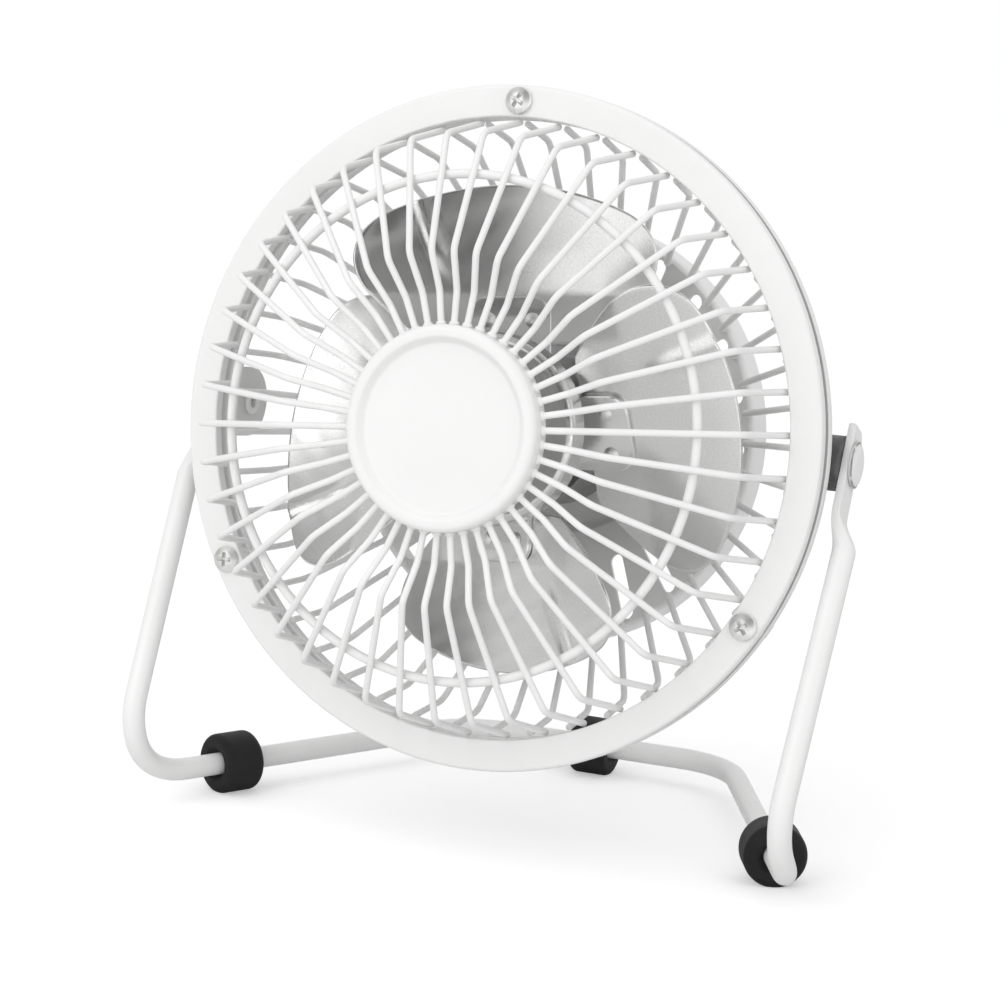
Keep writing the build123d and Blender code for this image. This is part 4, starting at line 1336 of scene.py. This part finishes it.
@dataclass
class Stand:
    """Bent rod with rubber feet, pivot rivets and bushes."""

    head: HeadFrame
    rod_radius: float = 2.4
    rod_height: float = 6.4
    knee: Corner = (71.65, -43.1, 18.25)
    front_corner: Flat = (71.5, -31.7)
    rear_corner: Flat = (33.1, 46.85)
    bends: tuple[float, float, float] = (19.0, 16.6, 11.6)
    bend_steps: int = 16
    pivot_setback: float = 15.2
    leg_top_x: float = 73.95
    paddle_x: float = 71.65
    paddle_thickness: float = 1.6
    paddle_width: float = 7.2
    paddle_length: float = 10.5
    paddle_crown: float = 7.5
    paddle_corner: float = 2.4
    paddle_taper: float = 0.48
    paddle_ease: float = 0.3
    paddle_squareness: float = 16.0
    flattening: float = 8.0
    flattening_steps: int = 8
    paddle_marks: Flat = (2.0, 1.2)
    corner_shares: tuple[float, ...] = (0.66, 0.33, 0.08, 0.0)
    foot_radius: float = 6.6
    foot_length: float = 9.2
    foot_flare: float = 1.3
    side_foot_share: float = 0.231
    tab_inner_x: float = 63.65
    bush_start: float = 64.9
    bush_end: float = 70.8
    bush_radius: float = 5.6
    rivet_radius: float = 2.0
    rivet_head_radius: float = 4.2
    rivet_head_height: float = 1.4
    eyelet_radius: float = 2.75
    eyelet_bore: float = 1.3
    eyelet_height: float = 0.9
    sides: int = 28
    pivot: Vector = field(init=False)
    leg: Vector = field(init=False)

    def __post_init__(self) -> None:
        """Works out the pivot's place and the leg's direction."""
        self.pivot = self.head.matrix() @ Vector((0.0, self.pivot_setback * MM, 0.0)) / MM
        self.leg = (self.pivot - Vector((0.0, self.knee[1], self.knee[2]))).normalized()

    def section(self, centre: Vector, thick: Vector, wide: Vector, squareness: float, turn: float) -> list[Vector]:
        """One ring round the rod, from round to a rounded rectangle.

        Args:
            centre: Middle of the section.
            thick: Half thickness as a vector.
            wide: Half width as a vector.
            squareness: Two for a round section, more for a squarer one.
            turn: Angle of the ring's first point.
        Returns:
            Points of the ring.
        """
        ring = []
        for step in range(self.sides):
            angle = 2.0 * math.pi * step / self.sides - turn
            parts = []
            for value in (math.cos(angle), math.sin(angle)):
                parts.append(math.copysign(abs(value) ** (2.0 / squareness), value))
            ring.append(centre + thick * parts[0] + wide * parts[1])
        return ring

    def rod(self) -> Piece:
        """The bent rod, round along the loop and the legs, flattened at both pivots.

        Returns:
            The rod.
        """
        across = Vector((1.0, 0.0, 0.0))
        foot = Vector((self.paddle_x, self.pivot.y, self.pivot.z)) - self.leg * self.paddle_length
        top = foot - self.leg * self.flattening
        top.x = self.leg_top_x
        rear, front = self.rear_corner, self.front_corner
        corners = [
            Vector((0.0, rear[1], self.rod_height)), Vector((*rear, self.rod_height)),
            Vector((*front, self.rod_height)), Vector(self.knee), top]
        rings = []
        normal = Vector((0.0, 0.0, 1.0))
        for place, direction in rounded_route(corners, self.bends, self.bend_steps):
            normal = (normal - direction * normal.dot(direction)).normalized()
            rings.append(self.section(
                place, normal * self.rod_radius, direction.cross(normal) * self.rod_radius, 2.0, 0.0))
        wide_way = self.leg.cross(across)
        turn = math.atan2(across.dot(self.leg.cross(normal)), across.dot(normal))
        reach = self.flattening + self.paddle_length + self.paddle_crown
        corner_start = reach - self.paddle_corner
        stations = [self.flattening * (step + 1) / self.flattening_steps for step in range(self.flattening_steps)]
        stations += [self.flattening + self.paddle_marks[0], corner_start - self.paddle_marks[1], corner_start]
        stations += [reach - self.paddle_corner * share for share in self.corner_shares]
        for station in stations:
            share = min(station / self.flattening, 1.0)
            ease = share * share * (3.0 - 2.0 * share)
            taper = max(0.0, station - corner_start) * self.paddle_taper
            centre = top + self.leg * station
            centre.x = self.leg_top_x + (self.paddle_x - self.leg_top_x) * ease
            centre -= wide_way * taper
            half_thick = self.rod_radius + (self.paddle_thickness / 2.0 - self.rod_radius) * ease
            half_wide = self.rod_radius + (self.paddle_width / 2.0 - self.rod_radius) * ease - taper
            if station == reach:
                half_thick -= self.paddle_ease
            rings.append(self.section(
                centre, across * half_thick, wide_way * half_wide,
                2.0 + self.paddle_squareness * ease * ease, turn))
        mirrored = [[Vector((-point.x, point.y, point.z)) for point in ring] for ring in reversed(rings[1:])]
        return as_object("bent_rod", skin(mirrored + rings), crease=50.0)

    def foot(self, name: str, centre: Vector, direction: Vector) -> Piece:
        """Rubber ring on the rod with a rounded rim, a flared bore and a flat where it stands.

        Args:
            name: Name of the piece.
            centre: Middle of the foot on the rod.
            direction: Direction of the rod there.
        Returns:
            The foot.
        """
        end, flare = self.foot_length / 2.0, self.foot_flare
        bore = self.rod_radius + 2.0 * CLEARANCE
        foot = turned(name, [
            (bore + flare, -end, 0.4), (self.foot_radius, -end, 1.4), (self.foot_radius, end, 1.4),
            (bore + flare, end, 0.4), (bore, end - flare, 0.4), (bore, flare - end, 0.4)],
            segments=72, closed=True)
        spin = Vector((0.0, 1.0, 0.0)).rotation_difference(direction).to_matrix().to_4x4()
        foot.data.transform(shift(*centre) @ spin)
        for vertex in foot.data.vertices:
            vertex.co.z = max(vertex.co.z, 0.0)
        return foot

    def on_pivots(self, name: str, corners: Sequence[Corner], segments: int, closed: bool = False) -> Piece:
        """Turned pieces on both pivots.

        Args:
            name: Name of the pair.
            corners: Outline of the right-hand piece as (radius, x, bend radius).
            segments: Steps round the pivot.
            closed: Whether the outline's end runs on to its start.
        Returns:
            Both pieces as one object.
        """
        pair = []
        for side in (1.0, -1.0):
            piece = turned(name + "_side", corners, segments, closed)
            piece.data.transform(
                shift(0.0, self.pivot_setback) @ Matrix.Rotation(-side * math.pi / 2.0, 4, "Z"))
            pair.append(piece)
        return self.head.seat(join(name, pair))

    def rivets(self) -> Piece:
        """Pivot rivets with a smooth dome outside and an eyelet tail inside.

        Returns:
            Both rivets.
        """
        start = self.paddle_x + self.paddle_thickness / 2.0 + CLEARANCE
        top = start + self.rivet_head_height
        tail = self.tab_inner_x - CLEARANCE
        end = tail - self.eyelet_height
        edge = self.rivet_head_radius
        return self.on_pivots("pivot_rivet_pair", [
            (0.0, top, 0.0), (edge * 0.76, top - 0.08, 5.0), (edge, top - 0.6, 0.5), (edge, start, 0.15),
            (self.rivet_radius, start, 0.0), (self.rivet_radius, tail, 0.0), (self.eyelet_radius, tail, 0.3),
            (self.eyelet_radius, end, 0.4), (self.eyelet_bore, end, 0.3), (self.eyelet_bore, tail + 2.0, 0.0),
            (0.0, tail + 2.1, 0.0)], segments=48)

    def bushes(self) -> Piece:
        """Friction bushes between the legs and the head.

        Returns:
            Both bushes.
        """
        bore = self.rivet_radius + CLEARANCE
        return self.on_pivots("pivot_bush_pair", [
            (bore, self.bush_start, 0.2), (self.bush_radius, self.bush_start, 0.5),
            (self.bush_radius, self.bush_end, 0.5), (bore, self.bush_end, 0.2)], segments=56, closed=True)

    def build(self) -> None:
        """Builds and dresses the stand."""
        present(self.rod(), Body.STAND, Slot.WHITE_PAINT, WHITE_COAT, "stand_rod")
        start = Vector((*self.front_corner, self.rod_height))
        run = Vector((*self.rear_corner, self.rod_height)) - start
        right = start + run * self.side_foot_share
        left = Vector((-right.x, right.y, right.z))
        rubber = (Body.STAND, Slot.BLACK_RUBBER, RUBBER)
        present(self.foot("rubber_foot_right", right, run.normalized()), *rubber, "foot_right")
        present(self.foot("rubber_foot_left", left, Vector((-run.x, run.y, 0.0)).normalized()), *rubber, "foot_left")
        rear = Vector((0.0, self.rear_corner[1], self.rod_height))
        present(self.foot("rubber_foot_rear", rear, Vector((1.0, 0.0, 0.0))), *rubber, "foot_rear")
        present(self.rivets(), Body.STAND, Slot.WHITE_PAINT, WHITE_COAT, "pivot_rivets")
        present(self.bushes(), Body.STAND, Slot.BLACK_PLASTIC, BUSH_PLASTIC, "pivot_bushes")


@dataclass
class KeptSolids:
    """Solids whose shape is right and that only get a finish."""

    finishes: tuple[tuple[str, Finish], ...] = (
        # the pivot brackets take the darker copy of the white coat as painted shade
        ("pivot_bracket_right", SHADED_WHITE_COAT), ("pivot_bracket_left", SHADED_WHITE_COAT), ("ring_nuts", SCREW_STEEL),
        ("motor_can", CASE_STEEL), ("motor_end_cap", PLASTIC), ("motor_front_bearing", BRONZE),
        ("motor_rear_bearing", BRONZE), ("motor_magnets", FERRITE), ("motor_brushes", BRONZE),
        ("motor_bracket", CASE_STEEL), ("motor_screws", SCREW_STEEL), ("switch_terminals", BRONZE),
        ("fan_shaft", SCREW_STEEL), ("armature_core", CASE_STEEL), ("armature_coils", COPPER), ("commutator", COPPER))

    def dress(self) -> None:
        """Gives every kept solid its finish."""
        for node, finish in self.finishes:
            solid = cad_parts[node]
            if not solid.material_slots:
                solid.data.materials.append(None)
            for slot in solid.material_slots:
                slot.material = finish.material()
            LOG.info("%s: kept solid with %s", node, finish.name)


@dataclass
class Studio:
    """Pale floor, soft light and the camera.

    Ramps are (result at the start, result at the end, start, end).
    """

    head: HeadFrame
    camera_azimuth: float = 23.37
    camera_elevation: float = 7.43
    camera_distance: float = 535.27
    view_azimuth: float = 23.06
    view_elevation: float = 8.96
    roll: float = 2.88
    focal_pixels: float = 2627.0
    image_pixels: float = 1000.0
    sensor_width: float = 36.0
    front_light: float = 1.02
    back_light: float = 0.52
    light_slant: Corner = (0.0, 1.0, -0.5)
    light_turn: Flat = (-0.75, 0.5)
    side_share: float = 0.45
    side_turn: Flat = (0.4, 0.9)
    sideways: Corner = (0.92, 0.39, 0.0)
    mirror_depth: Ramp = (0.06, 1.0, -0.75, 0.6)
    band_height: Ramp = (1.0, 0.0, 0.07, 0.22)
    band_side: Ramp = (0.0, 1.0, -0.2, 0.05)
    key_towards: Corner = (-0.5, -0.55, 0.95)
    key_strength: float = 0.22
    key_spread: float = 50.0
    floor_half: float = 20.0
    floor_tones: tuple[Colour, Colour] = ((0.83, 0.83, 0.83), (0.84, 0.84, 0.84))
    floor_mottle: float = 6.0
    floor_boost: float = 0.37
    mirror_boost: float = 0.6
    dim_floor: Flat = (-0.3, -0.15)
    floor_ahead: Corner = (-0.6, 1.0, 0.0)

    @staticmethod
    def backward(azimuth: float, elevation: float) -> Vector:
        """Direction from the fan towards a viewer."""
        turn, rise = math.radians(azimuth), math.radians(elevation)
        return Vector((math.sin(turn) * math.cos(rise), -math.cos(turn) * math.cos(rise), math.sin(rise)))

    def camera(self) -> None:
        """Camera at the photograph's angle."""
        data = bpy.data.cameras.new("photo_camera")
        data.sensor_width = self.sensor_width
        data.lens = self.focal_pixels / self.image_pixels * data.sensor_width
        data.clip_start, data.clip_end = 0.01, 50.0
        back = self.backward(self.view_azimuth, self.view_elevation)
        azimuth, lean = math.radians(self.view_azimuth), math.radians(self.roll)
        right = Vector((math.cos(azimuth), math.sin(azimuth), 0.0))
        up = back.cross(right)
        right, up = right * math.cos(lean) + up * math.sin(lean), up * math.cos(lean) - right * math.sin(lean)
        centre = self.head.matrix().translation
        place = centre + self.backward(self.camera_azimuth, self.camera_elevation) * self.camera_distance * MM
        camera = bpy.data.objects.new("photo_camera", data)
        camera.matrix_world = Matrix.Translation(place) @ Matrix((right, up, back)).transposed().to_4x4()
        bpy.context.scene.collection.objects.link(camera)
        bpy.context.scene.camera = camera

    @staticmethod
    def hang(data: bpy.types.Light, towards: Vector, place: Corner = (0.0, 0.0, 0.0)) -> None:
        """Puts a lamp in the scene.

        Args:
            data: The lamp.
            towards: Direction from the fan to the lamp.
            place: Middle of the lamp in metres, for a lamp that has a place.
        """
        lamp = bpy.data.objects.new(data.name, data)
        lamp.location = place
        lamp.rotation_mode = "QUATERNION"
        lamp.rotation_quaternion = towards.to_track_quat("Z", "Y")
        bpy.context.scene.collection.objects.link(lamp)

    def key(self) -> None:
        """Large soft lamp at the upper left."""
        data = bpy.data.lights.new("key_light", "SUN")
        data.energy = self.key_strength
        data.angle = math.radians(self.key_spread)
        self.hang(data, Vector(self.key_towards))

    def softbox(self, name: str, place: Corner, size: Flat, radiance: float) -> None:
        """Rectangular lamp that faces the fan.

        Args:
            name: Name of the lamp.
            place: Middle of the lamp in metres.
            size: Width and height in metres.
            radiance: Brightness of its face.
        """
        data = bpy.data.lights.new(name, "AREA")
        data.shape = "RECTANGLE"
        data.size, data.size_y = size
        data.energy = radiance * math.pi * size[0] * size[1]
        self.hang(data, Vector(place) - self.head.matrix().translation, place)

    def floor(self) -> None:
        """Wide pale floor that keeps the shadow and looks white."""
        shape = bmesh.new()
        corners = ((-1.0, -1.0), (1.0, -1.0), (1.0, 1.0), (-1.0, 1.0))
        shape.faces.new([shape.verts.new((x * self.floor_half, y * self.floor_half, 0.0)) for x, y in corners])
        floor = as_object("pale_floor", shape)
        sketch = ShadeSketch(bpy.data.materials.new("pale_floor"))
        place = sketch.add("ShaderNodeTexCoord").outputs["Object"]
        path = sketch.add("ShaderNodeLightPath").outputs
        tone = sketch.blend(sketch.noise(place, self.floor_mottle, FINE_LAYERS), *self.floor_tones)
        matt = sketch.add("ShaderNodeBsdfDiffuse", ("Color", tone)).outputs[0]
        near = sketch.ramp(sketch.along(place, self.floor_ahead), self.mirror_boost, 0.0, *self.dim_floor)
        level = sketch.choose(path["Is Camera Ray"], near, self.floor_boost)
        glow = sketch.add("ShaderNodeEmission", ("Strength", level)).outputs[0]
        bright = sketch.add("ShaderNodeAddShader", (0, matt), (1, glow)).outputs[0]
        seen = path["Is Camera Ray"]
        for name in ("Is Glossy Ray", "Is Transmission Ray"):
            seen = sketch.maths("MAXIMUM", seen, path[name])
        mix = sketch.add("ShaderNodeMixShader", (0, seen), (1, matt), (2, bright))
        floor.data.materials.append(sketch.finish(mix))

    def surroundings(self) -> None:
        """Pale surroundings: brightest in front for matt light, and darkest in front for mirrored light."""
        world = bpy.data.worlds.new("studio")
        bpy.context.scene.world = world
        sketch = ShadeSketch(world)
        place = sketch.add("ShaderNodeTexCoord").outputs["Generated"]
        path = sketch.add("ShaderNodeLightPath").outputs
        split = sketch.add("ShaderNodeSeparateXYZ", (0, place)).outputs
        band = sketch.maths(
            "MULTIPLY", sketch.ramp(split["Z"], *self.band_height), sketch.ramp(split["X"], *self.band_side))
        mirrored = sketch.maths("MAXIMUM", sketch.ramp(split["Y"], *self.mirror_depth), band)
        slant = sketch.along(place, self.light_slant)
        aside = sketch.maths("ABSOLUTE", sketch.along(place, self.sideways))
        soft = sketch.maths(
            "MULTIPLY", sketch.ramp(slant, self.front_light, self.back_light, *self.light_turn),
            sketch.ramp(aside, 1.0, self.side_share, *self.side_turn))
        glossy = sketch.maths("MAXIMUM", path["Is Glossy Ray"], path["Is Transmission Ray"])
        shown = sketch.choose(path["Is Camera Ray"], sketch.choose(glossy, soft, mirrored), 1.0)
        background = sketch.add("ShaderNodeBackground", ("Strength", shown), Color=(1.0, 1.0, 1.0, 1.0))
        sketch.finish(background, "ShaderNodeOutputWorld")

    def build(self) -> None:
        """Sets up the whole studio."""
        bpy.context.scene.view_settings.view_transform = "Standard"
        self.camera()
        self.floor()
        self.surroundings()
        self.key()
        self.softbox("left_softbox", (-0.4, -0.9, 0.5), (0.7, 0.7), 1.5)
        self.softbox("right_softbox", (1.15, -0.4, 0.4), (0.5, 0.8), 1.1)


def main() -> None:
    """Sets up the studio and builds the fan's pieces in order."""
    logging.basicConfig(level=logging.INFO, format="%(message)s")
    head = HeadFrame()
    rings = ring_pattern()
    wires = wire_pattern()
    Studio(head).build()
    Guard(head, rings, wires).build()
    RearBowl(head, rings).build()
    Rotor(head, rings).build()
    Stand(head).build()
    KeptSolids().dress()


if __name__ == "__main__":
    main()
